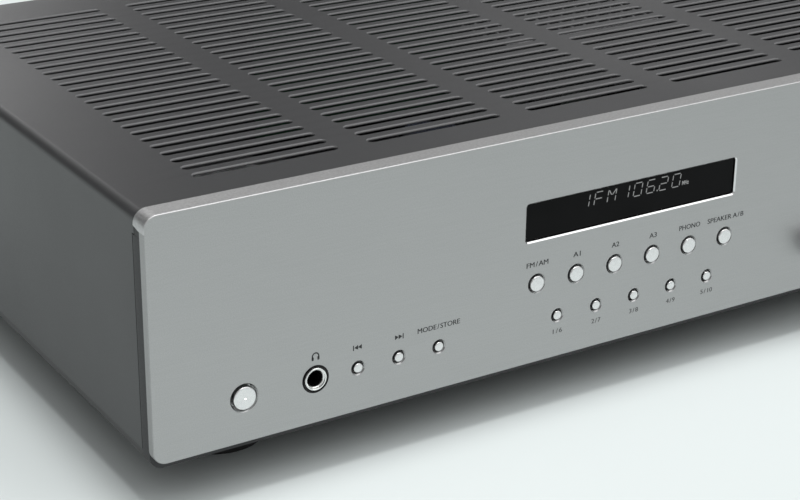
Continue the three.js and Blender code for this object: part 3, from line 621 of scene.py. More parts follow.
# The holes for each kind of button: their radius, and the chamfer round them.
BUTTON_HOLES = [(SOURCES, 3.8, 0.5), (PRESETS + SMALL_BUTTONS, 2.6, 0.5), (["power_button"], 5.4, 0.55)]
INSIDE = FACE + PLATE + 0.3  # just clear of the fascia's plate


def lip_depth(z):
    """How far back the fascia's edge reaches at a height: the plate below, and the lip above."""
    lip = fascia.rear - FACE
    share = min(1, max(0, (z - LIP_LOW) / LIP_SLOPE))
    return PLATE + (lip - PLATE) * share


def fascia_outline():
    loop = rounded(fascia.left, fascia.right, fascia.bottom, fascia.top, FASCIA_CORNER, 12)
    heights = [LIP_LOW + LIP_SLOPE * share for share in (0, 0.12, 0.5, 1)]
    left = [(fascia.left, z) for z in reversed(heights)]
    right = [(fascia.right, z) for z in heights]
    first = 26  # the arcs at the two upper corners come first, with 13 points each
    return [*loop[:first], *left, *loop[first:], *right]


def fascia_holes():
    holes = []
    for names, hole, edge in BUTTON_HOLES:
        for name in names:
            place = Box(name)
            holes.append(wall(circle(place.x, place.z, hole, 40), 0, PLATE, edge, 0.1, 1, hole=True))
    jack = Box("headphone_jack")
    holes.append(wall(circle(jack.x, LOW_ROW_Z, 5.7, 48), 0, PLATE, 0.15, 0.1, 2, hole=True))
    for name, hole in [*((name, 3.9) for name in TONE_KNOBS), ("volume_knob", 5.2)]:
        place = Box(name)
        holes.append(wall(circle(place.x, place.z, hole), 0, PLATE, 0.1, 0.1, 1, hole=True))
    return holes


def window_opening():
    window = Box("display_window")
    rim = 2.0 - WINDOW_EDGE * 0.2
    loop = rounded(window.left + rim + 0.5, window.right - rim, window.bottom + rim, window.top - rim, 1.1, 6)
    return wall(loop, 0, PLATE, WINDOW_EDGE, 0.1, 1, hole=True)


def make_fascia():
    outline = fascia_outline()

    def edge(distance, shift=0.0):
        return [(u, v, lip_depth(z) + shift) for (u, v), (_, z) in zip(inset(outline, distance), outline)]

    rings = [ring(inset(outline, i), d) for i, d in ((0.36, 0), (0.3, 0.02), (0.02, 0.3), (0, 0.36))]
    rings += [edge(0, -0.3), edge(0.09, -0.09), edge(0.3), edge(LIP_SHEET)]
    rings.append(ring(inset(outline, LIP_SHEET), PLATE))
    shape = Shape()
    holes = fascia_holes()
    # The holes' walls take the darker cut metal, painted shade; the window's edge takes the bright cut metal.
    shape.slab(rings, along_y(FACE), [*holes, window_opening()], cuts=[1] * len(holes) + [2])
    # Faces behind the front: the lip's top takes the lighter blasted copy, painted light, and the plate's
    # sides and back the darker sawn copy, painted shade.
    for number, face in enumerate(shape.faces):
        corners = [shape.points[i] for i in face]
        if shape.finishes[number] == 0 and max(y for _, y, _ in corners) > FACE + 0.1:
            on_lip = min(z for _, _, z in corners) > LIP_LOW
            shape.finishes[number] = 3 if on_lip else 4
    finishes = [ALUMINIUM, CUT_HOLE_SHADE, CUT_EDGE, BLASTED_LIT, SAWN_SHADED]
    piece("fascia", shape, finishes, ["front_fascia"], crease=25)


def frame_outline(shoulder):
    """Half of it is the visible band; near the top it steps in to clear the fascia's lip and the cover."""
    right = subframe.right
    low = LIP_LOW - 0.3
    inner = right - 2.3
    steps = [(right, SIDE_STEP_Z - 0.3), (shoulder, SIDE_STEP_Z - 0.3), (shoulder, low), (inner, low)]
    top = subframe.top
    corner = arc(right - FASCIA_CORNER, subframe.bottom + FASCIA_CORNER, FASCIA_CORNER, 3, 4, 12)
    side = [*corner, *steps, *arc(inner - 3.5, top - 3.5, 3.5, 0, 1, 6)]
    return side + [(-u, v) for u, v in reversed(side)]


def make_subframe():
    """The dark frame behind the fascia: a plate with openings, and the band round it that shows."""
    front = INSIDE
    band_front, band_rear = FACE + PLATE + 0.6, subframe.rear
    clear, back = fascia.rear, front + 1.3
    before, behind = frame_outline(subframe.right - 0.05), frame_outline(subframe.right - 1.35)
    rings = [
        ring(inset(before, 2.0), front), ring(inset(before, 2.0), band_front),
        ring(inset(before, 0.5), band_front), ring(inset(before, 0.14), band_front + 0.14),
        ring(before, band_front + 0.5), ring(before, clear), ring(behind, clear + 0.01),
        ring(behind, band_rear - 0.4), ring(inset(behind, 0.12), band_rear - 0.12),
        ring(inset(behind, 0.4), band_rear), ring(inset(behind, 1.5), band_rear),
        ring(inset(behind, 1.5), back),
    ]
    window = Box("display_window")
    source_first, source_last, power = Box(SOURCES[0]), Box(SOURCES[-1]), Box("power_button")
    mode, bass, balance = Box("mode_button"), Box(TONE_KNOBS[0]), Box(TONE_KNOBS[-1])
    volume = Box("volume_knob")
    openings = [
        (window.left - 4, window.right + 4, window.bottom - 4, window.top + 4),
        (source_first.x - 8, source_last.x + 8, LOW_ROW_Z - 8, SOURCE_ROW_Z + 8),
        (power.x - 9, mode.x + 9, LOW_ROW_Z - 9, LOW_ROW_Z + 9),
        (bass.x - 9, balance.x + 9, LOW_ROW_Z - 9, LOW_ROW_Z + 9),
        (volume.x - 17, volume.x + 17, volume.z - 17, volume.z + 17),
    ]
    holes = [wall(rounded(*edges, 1.5, 4), front, back, 0.2, 0.2, 1, hole=True) for edges in openings]
    shape = Shape()
    shape.slab(rings, holes=holes)
    piece("subframe", shape, [FRAME_PLASTIC], ["front_subframe"])


# ---- display

READOUT_LEFT = 31.8
READOUT_RISE = 3.5
CELL_PITCH = 6.7
DIGIT_WIDTH = 4.0
DIGIT_HEIGHT = 5.6
SEGMENT = 0.42
SLANT = 0.15
# Each stroke of a sixteen-segment cell runs between two of these places.
CELL = {"tl": (-1, 1), "tr": (1, 1), "ml": (-1, 0), "mr": (1, 0), "bl": (-1, -1), "br": (1, -1), "c": (0, 0)}
STROKES = {
    "1": ["tr-mr", "mr-br"],
    "F": ["tl-tr", "tl-ml", "ml-bl", "ml-mr"],
    "M": ["tl-ml", "ml-bl", "tr-mr", "mr-br", "tl-c", "tr-c"],
    "0": ["tl-tr", "tr-mr", "mr-br", "bl-br", "tl-ml", "ml-bl"],
    "6": ["tl-tr", "tl-ml", "ml-mr", "ml-bl", "bl-br", "mr-br"],
    "2": ["tl-tr", "tr-mr", "ml-mr", "ml-bl", "bl-br"],
}


def stroke(shape, start, end, y):
    """One lit segment: a thin bar with pointed ends, a little shorter than the way between its places."""
    along = Vector((end[0] - start[0], end[1] - start[1]))
    length = along.length
    along.normalize()
    across = Vector((-along.y, along.x)) * SEGMENT / 2
    gap = 0.3
    a = Vector(start) + along * gap
    b = Vector(start) + along * (length - gap)
    tip = along * SEGMENT / 2
    loop = [a, a + tip - across, b - tip - across, b, b - tip + across, a + tip + across]
    shape.slab([ring([tuple(p) for p in loop], depth) for depth in (0, 0.03)], along_y(y - 0.02))


def make_readout():
    window = Box("display_window")
    shape = Shape()
    y = window.front
    left = window.left + READOUT_LEFT
    middle = window.z + READOUT_RISE
    for cell, letter in enumerate("1FM10620"):
        x = left + cell * CELL_PITCH

        def spot(key):
            u, v = CELL[key]
            return x + u * DIGIT_WIDTH / 2 + v * SLANT * DIGIT_HEIGHT / 2, middle + v * DIGIT_HEIGHT / 2

        for name in STROKES[letter]:
            first, last = name.split("-")
            stroke(shape, spot(first), spot(last), y)
    point = left + 5.5 * CELL_PITCH - 0.2
    low = middle - DIGIT_HEIGHT / 2
    shape.block(point, point + 0.6, y - 0.02, y + 0.01, low, low + 0.6, 0.01)
    shape.lettering("MHz", left + 7.5 * CELL_PITCH + 1.6, middle - 2.6, 1.7, y - 0.005, 3.6, bold=0.03)
    piece("readout", shape, [READOUT])


def make_window():
    """The black acrylic pane: a raised middle that fills the opening, with a flange behind the plate."""
    window = Box("display_window")
    flange = rounded(window.left, window.right, window.bottom, window.top, 1.5, 4)
    raised = rounded(window.left + 2.5, window.right - 2, window.bottom + 2, window.top - 2, 1.2, 6)
    shape = Shape()
    shape.slab(wall(inset(raised, 0.25), window.front, INSIDE + 0.4, 0.12, 0))
    shape.slab(wall(flange, INSIDE, window.rear, 0.1, 0.1, 1))
    piece("window", shape, [WINDOW], ["display_window"])


# ---- buttons, knobs and jack


COLLAR = 1.2
STEM = 1.3


def make_button(name, dome, lamp=False):
    """A turned metal cap with a softly rounded rim and a slight dome, its collar, and the stem behind."""
    place = Box(name)
    cap = (place.right - place.left) / 2 - COLLAR
    front, rim = place.front, 0.42
    crown = [((cap - rim) * share, front + dome * share ** 2) for share in (0, 0.3, 0.6, 0.85)]
    corner = [(cap - i, front + dome + d) for i, d in rounding(rim, 5)]
    rest = [
        (cap, INSIDE), (cap + COLLAR, INSIDE), (cap + COLLAR, INSIDE + 1),
        (STEM, INSIDE + 1), (STEM, place.rear), (0, place.rear),
    ]
    shape = Shape()
    shape.lathe([*crown, *corner, *rest], place.x, place.z, steps=48)
    finishes = [BUTTON_METAL]
    if lamp:
        y = front - 0.03
        dot = [(0, y), (0.3, y + 0.02), (0.36, y + 0.1), (0, y + 0.1)]
        shape.lathe(dot, place.x, place.z, steps=16, finish=1)
        finishes.append(LAMP)
    piece(name + "_cap", shape, finishes, [name], name, (place.x, place.y, place.z))


def make_buttons():
    for name in SOURCES:
        make_button(name, dome=0.22)
    for name in PRESETS + SMALL_BUTTONS:
        make_button(name, dome=0.16)
    make_button("power_button", dome=0.25, lamp=True)


def make_knob(name, radius, spindle, rim, dish, pointer):
    """A turned knob with a shallow dished face, a bright chamfer, a groove at its foot and a pointer line."""
    place = Box(name)
    front = place.front
    back = FACE - 0.6
    face_radius = radius - rim
    profile = [
        (0, front + dish), (face_radius * 0.6, front + dish * 0.85),
        (face_radius - 0.5, front + dish * 0.25),
        (face_radius - 0.15, front + 0.02), (face_radius, front), (face_radius + 0.1, front + 0.02),
        (radius - 0.1, front + rim - 0.02), (radius - 0.02, front + rim + 0.06), (radius, front + rim + 0.3),
        (radius, back - 2.2), (radius - 0.15, back - 2.0), (radius - 0.5, back - 1.95),
        (radius - 0.5, back - 1.3), (radius - 0.15, back - 1.25), (radius, back - 1.1),
        (radius, back - 0.25), (radius - 0.25, back),
        (spindle, back), (spindle, place.rear), (0, place.rear),
    ]
    shape = Shape()
    shape.lathe(profile, place.x, place.z, steps=96 if radius > 10 else 64)
    half = pointer / 2
    low, high = place.z + radius * 0.45, place.z + radius * 0.86
    groove = rounded(place.x - half, place.x + half, low, high, half * 0.9, 3)
    shape.slab(wall(groove, front + 0.01, front + dish + 0.4, 0.05, 0, 2), finish=1)
    piece(name + "_turned", shape, [KNOB_METAL, INK], [name], name, (place.x, place.y, place.z))


def make_jack():
    """A headphone jack: a black bezel, a nickel nose with a rounded mouth, the bore and the body behind."""
    jack = Box("headphone_jack")
    x, z = jack.x, LOW_ROW_Z
    front = jack.front
    bore_end = FACE + 20
    shape = Shape()
    plate_back = FACE + PLATE
    bezel = [
        (4.75, front + 0.3), (4.85, front + 0.12), (5.1, front), (5.4, front + 0.05), (5.52, front + 0.25),
    ]
    shape.lathe([*bezel, (5.52, plate_back), (4.75, plate_back)], x, z, steps=64)
    nose = [
        (3.35, front + 1.6), (3.4, front + 1.0), (3.65, front + 0.7), (3.9, front + 0.62),
        (3.95, front + 0.2), (4.1, front + 0.08), (4.5, front + 0.08), (4.68, front + 0.25),
    ]
    shape.lathe([*nose, (4.68, plate_back), (3.35, plate_back)], x, z, steps=64, finish=2)
    lining = [(3.2, front + 1.5), (3.34, front + 1.5), (3.34, bore_end), (3.2, bore_end)]
    shape.lathe(lining, x, z, steps=48)
    body = around(x, z, 14, 16, 0.8)
    pocket = wall(circle(x, z, 3.36, 40), INSIDE, bore_end, 0, 0, hole=True)
    shape.slab(wall(body, INSIDE, jack.rear, 0.4, 0.4), pockets=[pocket])
    spring = bore_end - 4
    shape.block(x - 0.8, x + 0.8, spring, spring + 3, z - 3.1, z - 2.6, 0.1, finish=1)
    finishes = [GLOSS_BLACK, NICKEL, JACK_METAL]
    piece("headphone_socket", shape, finishes, ["headphone_jack"])


# ---- legends on the front

CAPITAL = 2.15


def front_lettering(shape, text, x, z, width, height=CAPITAL, finish=0):
    """A word in a heavier weight: it is printed twice, a hair apart, because a bolder M folds over itself."""
    for shift in (-0.06, 0.06):
        y = FACE - 0.01 + shift * 0.05
        shape.lettering(text, x + shift, z - height / 2, height, y, width, finish=finish)


def flat(shape, loop, finish=0):
    """A printed patch of ink on the fascia."""
    shape.slab([ring(loop, depth) for depth in (0, 0.03)], along_y(FACE - 0.02), finish=finish)


def skip_icon(shape, x, z, side):
    """Two arrowheads and a bar, pointing to the side."""
    for middle in (x - side * 1.05, x + side * 0.6):
        points = [(middle - side * 0.85, z + 1.0), (middle - side * 0.85, z - 1.0), (middle + side * 0.85, z)]
        flat(shape, points if side > 0 else points[::-1])
    bar = x + side * 1.8
    flat(shape, [(bar - 0.22, z - 1.1), (bar + 0.22, z - 1.1), (bar + 0.22, z + 1.1), (bar - 0.22, z + 1.1)])


def headphone_icon(shape, x, z):
    outer, inner = 1.65, 1.1
    band = [*arc(x, z, outer, -0.35, 2.35, 24), *reversed(arc(x, z, inner, -0.35, 2.35, 24))]
    flat(shape, band)
    for side in (-1, 1):
        flat(shape, around(x + side * 1.25, z - 0.95, 0.9, 1.5, 0.3, 4))


def make_front_legends():
    shape = Shape()
    labels = ["FM / AM", "A1", "A2", "A3", "PHONO", "SPEAKER  A / B"]
    widths = [10.6, 3.6, 3.8, 3.8, 11.2, 19.8]
    for name, text, width in zip(SOURCES, labels, widths):
        front_lettering(shape, text, Box(name).x, SOURCE_ROW_Z + 8.6, width)
    for i, name in enumerate(PRESETS):
        text = f"{i + 1} / {i + 6}"
        front_lettering(shape, text, Box(name).x + 0.4, LOW_ROW_Z - 7.0, 4.6 if i < 4 else 6.4, 2.0, finish=1)
    front_lettering(shape, "MODE / STORE", Box("mode_button").x - 0.2, LOW_ROW_Z + 8.9, 19.6, 2.1)
    skip_icon(shape, Box("skip_back_button").x - 0.3, LOW_ROW_Z + 8.8, -1)
    skip_icon(shape, Box("skip_forward_button").x, LOW_ROW_Z + 8.7, 1)
    headphone_icon(shape, Box("headphone_jack").x, LOW_ROW_Z + 9.6)
    for name in TONE_KNOBS:
        front_lettering(shape, name.split("_")[0].upper(), Box(name).x, LOW_ROW_Z + 11.5, None, 1.9)
    front_lettering(shape, "VOLUME", Box("volume_knob").x, Box("volume_knob").z + 26.5, None, 2.2)
    piece("front_legends", shape, [INK, THIN_INK], crease=60)


def volume_marks():
    """Printed dots round the volume knob, from seven to five o'clock, with every fifth one larger."""
    volume = Box("volume_knob")
    shape = Shape()
    count, reach, first, sweep = 31, 24, 240, 300
    for i in range(count):
        angle = math.radians(first - sweep * i / (count - 1))
        x, z = volume.x + reach * math.cos(angle), volume.z + reach * math.sin(angle)
        flat(shape, circle(x, z, 0.45 if i % 5 == 0 else 0.25, 12))
    piece("volume_marks", shape, [INK])


# ---- base, feet and screws


def make_base():
    """The folded base tray and the pillars that the amplifier board stands on."""
    thick, bend, inner_bend, height = 1.2, 2.2, 1.0, 16
    left, right, low, rim = base.left + bend, base.right - bend, base.bottom + bend, base.bottom + height
    outer = [
        *arc(left, low, bend, 2, 3, 6), *arc(right, low, bend, 3, 4, 6),
        (base.right, rim), (base.right - thick, rim),
        *arc(right, low, inner_bend, 4, 3, 6), *arc(left, low, inner_bend, 3, 2, 6),
        (base.left + thick, rim), (base.left, rim),
    ]
    shape = Shape()
    shape.slab(wall(outer, base.front, base.rear, 0.15, 0.15, 1))
    board = Box("amplifier_board")
    seat, margin = base.bottom + thick, 7.5
    pillar = [(0, seat), (3.6, seat), (3, base.bottom + 2), (3, base.top), (0, base.top)]
    for x in (board.left + margin, board.right - margin):
        for y in (board.front + margin, board.rear - margin):
            shape.lathe(pillar, x, y, "Z", 24)
    # The tray takes the darker paint, painted shade inside the case.
    piece("base_tray", shape, [INNER_SHADE_PAINT], ["base_pan"])


def make_foot(name):
    """A moulded foot with a stepped side, a rubber ring let into its sole and a round recess in its middle.
    """
    foot = Box(name)
    radius, top = (foot.right - foot.left) / 2, foot.top
    shape = Shape()
    middle = [(0, 5), (6, 5), (6.4, 1.4), (12, 1.2), (12.2, 3)]
    side = [
        (19.5, 3), (21.4, 3.1), (21.8, 3.3), (radius, 3.9), (radius, top - 3.4), (21.6, top - 3), (21.6, top),
    ]
    shape.lathe([*middle, *side, (0, top)], foot.x, foot.y, "Z", 64)
    sole = [
        (12.6, 0.5), (12.9, 0.1), (13.3, 0), (18.7, 0), (19.2, 0.15), (19.5, 0.6), (19.5, 2.9), (12.6, 2.9),
    ]
    shape.lathe(sole, foot.x, foot.y, "Z", 64, finish=1)
    piece(name + "_moulding", shape, [BLACK_PLASTIC, RUBBER], [name])


def cross(u, v, arm, width):
    """The outline of a screw's cross recess."""
    a, w = arm, width / 2
    return [
        (u + w, v + w), (u + w, v + a), (u - w, v + a), (u - w, v + w), (u - a, v + w), (u - a, v - w),
        (u - w, v - w), (u - w, v - a), (u + w, v - a), (u + w, v - w), (u + a, v - w), (u + a, v + w),
    ]


def screw_head(shape, u, v, radius, height, place):
    """A pan head with a cross recess, its top at depth 0."""
    dome = ((0.55, 0), (0.8, 0.18), (0.95, 0.5), (1, 0.8), (1, 1))
    rings = [ring(circle(u, v, radius * r, 32), height * d) for r, d in dome]
    mouth, floor = cross(u, v, radius * 0.48, radius * 0.2), cross(u, v, radius * 0.3, radius * 0.12)
    shape.slab(rings, place, pockets=[[ring(mouth, 0), ring(floor, height * 0.7)]])


def make_screws():
    shape = Shape()
    radius, height = 3.0, 1.7
    for x in (-200, -150, -22, 120, 200):
        for z in (panel.top - 6, base.bottom + 8):
            screw_head(shape, x, z, radius, height, back_along_y(panel.rear + height))
    piece("rear_screws", shape, [BLACK_SCREW])


# ---- rear panel and sockets

REAR = panel.rear + 0.3
REAR_CAPITAL = 2.2
SMALL_CAPITAL = 1.9
PHONO_PITCH = 15.0
SPEAKER_PAIR = 28  # from the middle of the block to the middle of a pair of posts


def arch_outline():
    top, radius = panel.top, 3.2
    return [
        (panel.left, panel.bottom), (panel.right, panel.bottom),
        *arc(panel.right - radius, top - radius, radius, 0, 1, 5),
        *arc(panel.left + radius, top - radius, radius, 1, 2, 5),
    ]


def make_rear_panel():
    line, output, speakers = Box("line_input_sockets"), Box("output_sockets"), Box("speaker_terminal_block")
    fm, am = Box("fm_aerial_socket"), Box("am_aerial_terminals")
    inlet, switch = Box("mains_inlet"), Box("mains_switch")
    openings = [outline_of(box, 1, 4) for box in (line, output)]
    openings.append(around(speakers.x, speakers.z, 100, 40, 1))
    openings.append(circle(fm.x, fm.z, 6.1))
    openings += [around(am.x, am.z, 19.2, 11.2, 0.6), around(inlet.x, inlet.z, 27.6, 20.6, 0.8)]
    openings.append(around(switch.x, switch.z, 14.6, 26.6, 0.6))
    depth = panel.rear - panel.front
    holes = [wall(loop, 0, depth, 0.12, 0.12, 1, hole=True) for loop in openings]
    shape = Shape()
    shape.slab(wall(arch_outline(), 0, depth, 0.15, 0.15, 1), back_along_y(panel.rear), holes)
    piece("rear_plate", shape, [PAINT], ["rear_panel"])


def make_phono(node, columns, rows):
    """A moulded plate with a ring, an earth sleeve, an insulator and a bore for each socket."""
    box = Box(node)
    face = REAR + 3
    shape = Shape()
    shape.slab(wall(outline_of(box, 1.5), 0, 3, 0.5, 0.1), back_along_y(face))
    shape.slab(wall(outline_of(box, 0.5, 6), REAR - 12, REAR, 0.2, 0))
    end = box.rear
    collar = [
        (4.3, face), (5.9, face), (6.1, face + 0.3), (6.1, face + 1.1), (5.8, face + 1.5), (4.3, face + 1.5),
    ]
    sleeve = [
        (3.4, face), (4.15, face), (4.15, end - 5), (3.95, end - 4.9), (3.95, end - 4.4), (4.15, end - 4.3),
        (4.15, end - 0.3), (3.95, end), (3.55, end), (3.4, end - 0.2),
    ]
    filler = [
        (1.9, face), (3.3, face), (3.3, end - 1.0), (3.1, end - 0.8), (2.1, end - 0.8), (1.9, end - 1.0),
    ]
    contact = [(0, face + 0.3), (1.7, face + 0.3), (1.7, face + 0.2), (0, face + 0.2)]
    for row in range(rows):
        for column in range(columns):
            x = box.x + (column - (columns - 1) / 2) * PHONO_PITCH
            z = box.z + (row - (rows - 1) / 2) * PHONO_PITCH
            shape.lathe(collar, x, z, finish=2 if row else 3)
            shape.lathe(sleeve, x, z, finish=1)
            shape.lathe(filler, x, z, finish=4)
            shape.lathe(contact, x, z, steps=24)
    finishes = [BLACK_PLASTIC, NICKEL, WHITE_PLASTIC, RED_PLASTIC, BLACK_PLASTIC]
    piece(node + "_moulding", shape, finishes, [node])


BINDING_CAPS = [f"binding_cap_{i}" for i in range(1, 9)]


def make_speaker_block():
    block = Box("speaker_terminal_block")
    shape = Shape()
    shape.slab(wall(outline_of(block, 2), 0, 4, 0.8, 0.1), back_along_y(REAR + 4))
    body = around(block.x, block.z, block.right - block.left - 22, block.top - block.bottom - 20, 1)
    shape.slab(wall(body, REAR - 12, REAR + 0.5, 0.3, 0))
    face, shoulder, end = REAR + 4, REAR + 9, block.rear
    collar = [
        (2.6, face), (7.1, face), (7.1, face + 1.2), (6.5, face + 1.6), (6.5, REAR + 8.7), (6.2, shoulder),
        (2.6, shoulder),
    ]
    stud = [(0, face), (2.5, face), (2.5, end - 0.4), (2.2, end), (1.9, end), (1.9, end - 6), (0, end - 6)]
    for cap in map(Box, BINDING_CAPS):
        shape.lathe(collar, cap.x, cap.z, finish=2 if cap.z > block.z else 0)
        shape.lathe(stud, cap.x, cap.z, steps=32, finish=1)
    finishes = [BLACK_PLASTIC, NICKEL, RED_PLASTIC]
    piece("speaker_terminals", shape, finishes, ["speaker_terminal_block"])


def make_binding_cap(name, finish):
    """A fluted binding cap with a smooth flange at its foot and a sunk end round the stud."""
    cap = Box(name)
    outer, flutes = (cap.right - cap.left) / 2, 20

    def fluted(radius, depth):
        turns = [2 * math.pi * i / (flutes * 6) for i in range(flutes * 6)]
        reach = [radius - depth * (0.5 - 0.5 * math.cos(t * flutes)) ** 1.5 for t in turns]
        return [(cap.x + r * math.cos(t), cap.z + r * math.sin(t)) for r, t in zip(reach, turns)]

    length = cap.rear - cap.front
    steps = [
        (outer - 1.6, 0, 0), (outer - 1.2, 0.12, 0), (outer - 0.45, 1.0, 0.25), (outer - 0.25, 2.0, 0.5),
        (outer - 0.2, length - 4.2, 0.55), (outer - 0.25, length - 3.6, 0.3), (outer - 0.1, length - 3.2, 0),
        (outer, length - 2.9, 0), (outer, length - 0.5, 0), (outer - 0.4, length, 0),
    ]
    rings = [ring(fluted(radius, flute), depth) for radius, depth, flute in steps]
    bore = circle(cap.x, cap.z, 2.8, 120)
    mouth = circle(cap.x, cap.z, 4.6, 120)
    hole = [ring(mouth, 0), ring(inset(mouth, 0.3), 1.4), ring(bore, 1.6), ring(bore, length)]
    shape = Shape()
    shape.slab(rings, back_along_y(cap.rear), [hole])
    piece(name + "_fluted", shape, [finish], [name], name, (cap.x, cap.y, cap.z))


def make_fm_socket():
    fm = Box("fm_aerial_socket")
    shape = Shape()
    corners = [math.pi / 3 * i for i in range(6)]
    nut = [(fm.x + 8 * math.cos(t), fm.z + 8 * math.sin(t)) for t in corners]
    shape.slab(wall(nut, 0, 2, 0.35, 0.1), back_along_y(REAR + 2))
    end = fm.rear
    thread = [(4.7 - 0.22 * (i % 2), REAR + 2.2 + i * 0.35) for i in range(20)]
    barrel = [
        (0, fm.front), (5.5, fm.front), (5.5, REAR + 0.5), (4.7, REAR + 0.6), *thread, (4.4, end - 2),
        (4.4, end - 0.3), (4.1, end), (3.4, end), (3.3, end - 0.3), (3.3, end - 3), (0, end - 3),
    ]
    shape.lathe(barrel, fm.x, fm.z, steps=48)
    filler = [(0.6, end - 2.9), (3.2, end - 2.9), (3.2, end - 0.9), (0.8, end - 0.9), (0.6, end - 1.1)]
    shape.lathe(filler, fm.x, fm.z, steps=32, finish=1)
    piece("fm_socket", shape, [NICKEL, WHITE_PLASTIC], ["fm_aerial_socket"])


def make_am_terminals():
    """Two turned screw terminals on one moulding."""
    am = Box("am_aerial_terminals")
    shape = Shape()
    shape.slab(wall(outline_of(am, 1), 0, 3, 0.5, 0.1), back_along_y(REAR + 3))
    shape.block(am.x - 9, am.x + 9, am.front, REAR, am.z - 5, am.z + 5, 0.4)
    head = [
        (0, REAR + 2.9), (3.6, REAR + 2.9), (3.6, REAR + 3.6), (2.9, REAR + 3.7), (2.9, REAR + 5),
        (3.4, REAR + 5.1), (3.4, am.rear - 0.5), (3.0, am.rear), (0, am.rear),
    ]
    for side in (-1, 1):
        shape.lathe(head, am.x + side * 6, am.z, steps=40, finish=1)
    finishes = [BLACK_PLASTIC, NICKEL]
    piece("am_terminals", shape, finishes, ["am_aerial_terminals"])


def make_inlet():
    """The mains inlet, with its two upper corners cut and three flat blades."""
    inlet = Box("mains_inlet")
    x, z = inlet.x, inlet.z
    mouth = inlet.rear
    flange = outline_of(inlet, 2.5)
    depth = mouth - inlet.front
    body = around(x, z, 27, 20, 2.5)
    outline = [*wall(flange, 0, 2.5, 0.6, 0.1), ring(body, 2.5), ring(body, depth)]
    left, right, low, high, corner = x - 22.5 / 2, x + 22.5 / 2, z - 15.5 / 2, z + 15.5 / 2, 4.0
    cut = [(right, high - corner), (right - corner, high), (left + corner, high), (left, high - corner)]
    socket = [(left, low), (right, low), *cut]
    shape = Shape()
    shape.slab(outline, back_along_y(mouth), pockets=[wall(socket, 0, 18, 0.4, 0, hole=True)])
    for dx, dz in ((-7, -2), (0, 2.5), (7, -2)):
        shape.block(x + dx - 1, x + dx + 1, mouth - 18.2, mouth - 5, z + dz - 2, z + dz + 2, 0.4, finish=1)
    piece("mains_socket", shape, [BLACK_PLASTIC, NICKEL], ["mains_inlet"])


def make_switch():
    switch = Box("mains_switch")
    frame_loop = outline_of(switch, 1.2)
    body = around(switch.x, switch.z, 14, 26, 0.8)
    well = around(switch.x, switch.z, 10.4, 22.6, 0.6)
    depth = switch.rear - switch.front
    shape = Shape()
    outline = [*wall(frame_loop, 0, 2, 0.7, 0.1), ring(body, 2), ring(body, depth)]
    shape.slab(outline, back_along_y(switch.rear), pockets=[wall(well, 0, 11, 0.3, 0, hole=True)])
    piece("mains_switch_body", shape, [BLACK_PLASTIC], ["mains_switch"])


def make_rocker():
    """The rocker, dished across its face, with a bar and a ring moulded into its two ends."""
    rocker = Box("mains_rocker")
    half, depth, tilt = 10.0, 7.0, math.radians(8)
    centre_y, centre_z = REAR - 1.5, Box("mains_switch").z
    lip = 0.25

    def dish(v):
        return depth * (0.25 + 0.25 * (v / half) ** 2)

    face = [(dish(v), v) for v in (-9.6, -7, -4, 0, 4, 7, 9.6)]
    low_end = [(-depth / 2, -half * 0.5), (depth * 0.2, -half), (dish(half) - lip, -half)]
    high_end = [(dish(half) - lip, half), (depth * 0.2, half), (-depth / 2, half * 0.5)]
    loop = [*low_end, *face, *high_end]

    def place(u, v, d):
        y = u * math.cos(tilt) - v * math.sin(tilt)
        return rocker.left + d, centre_y + y, centre_z + u * math.sin(tilt) + v * math.cos(tilt)

    shape = Shape()
    shape.slab(wall(loop, 0, rocker.right - rocker.left, 0.3, 0.3), place)

    def on_face(u, v, d):
        return rocker.x + u, *place(dish(v) + 0.04 - d, v, 0)[1:]

    def marked(loop):
        return [ring(loop, d) for d in (0, 0.3)]

    middle = 5.8
    shape.slab(marked(around(0, middle, 0.6, 3.2, 0.1, 2)), on_face, finish=1)
    shape.slab(marked(circle(0, -middle, 1.6, 24)), on_face, [marked(circle(0, -middle, 1.15, 24))], finish=1)
    finishes = [GLOSS_BLACK, WHITE_INK]
    piece("mains_rocker_dished", shape, finishes, ["mains_rocker"], "mains_rocker")


def make_rear_legends():
    line, output, block = Box("line_input_sockets"), Box("output_sockets"), Box("speaker_terminal_block")
    fm, am, inlet = Box("fm_aerial_socket"), Box("am_aerial_terminals"), Box("mains_inlet")
    words = [
        ("INPUTS", line.x, line.top + 8),
        ("PRE OUT", output.x - PHONO_PITCH / 2, output.top + 2.5, SMALL_CAPITAL),
        ("SUB", output.x + PHONO_PITCH / 2, output.top + 2.5, SMALL_CAPITAL),
        ("OUTPUTS", output.x, output.top + 8), ("SPEAKERS", block.x, block.top + 3),
        ("A", block.x - SPEAKER_PAIR, block.bottom - 5), ("B", block.x + SPEAKER_PAIR, block.bottom - 5),
        ("FM", fm.x, fm.top + 3), ("AM", am.x, am.top + 3),
        ("AC IN", inlet.x, inlet.bottom - 5),
    ]
    columns = enumerate(("PHONO", "A1", "A2", "A3", "REC"))
    inputs = [(text, line.x + (column - 2) * PHONO_PITCH, line.top + 2.5) for column, text in columns]
    shape = Shape()
    for text, x, z, *height in inputs + words:
        capital = height[0] if height else REAR_CAPITAL
        shape.lettering(text, x, z, capital, panel.rear + 0.005, facing="rear")
    piece("rear_legends", shape, [WHITE_INK], crease=60)


# ---- what shows through the slots

INNER_FINISHES = {
    "display_module": GLASS, "volume_control": NICKEL, "tone_board": BOARD, "control_board": BOARD,
    "transformer": TAPE, "transformer_clamp": ZINC, "heat_sink": SINK,
    "output_transistor_left": GLOSS_BLACK, "output_transistor_right": GLOSS_BLACK,
    "reservoir_capacitor_front": SLEEVE, "reservoir_capacitor_rear": SLEEVE,
    "amplifier_board": BOARD, "input_board": BOARD, "tuner_module": NICKEL,
}


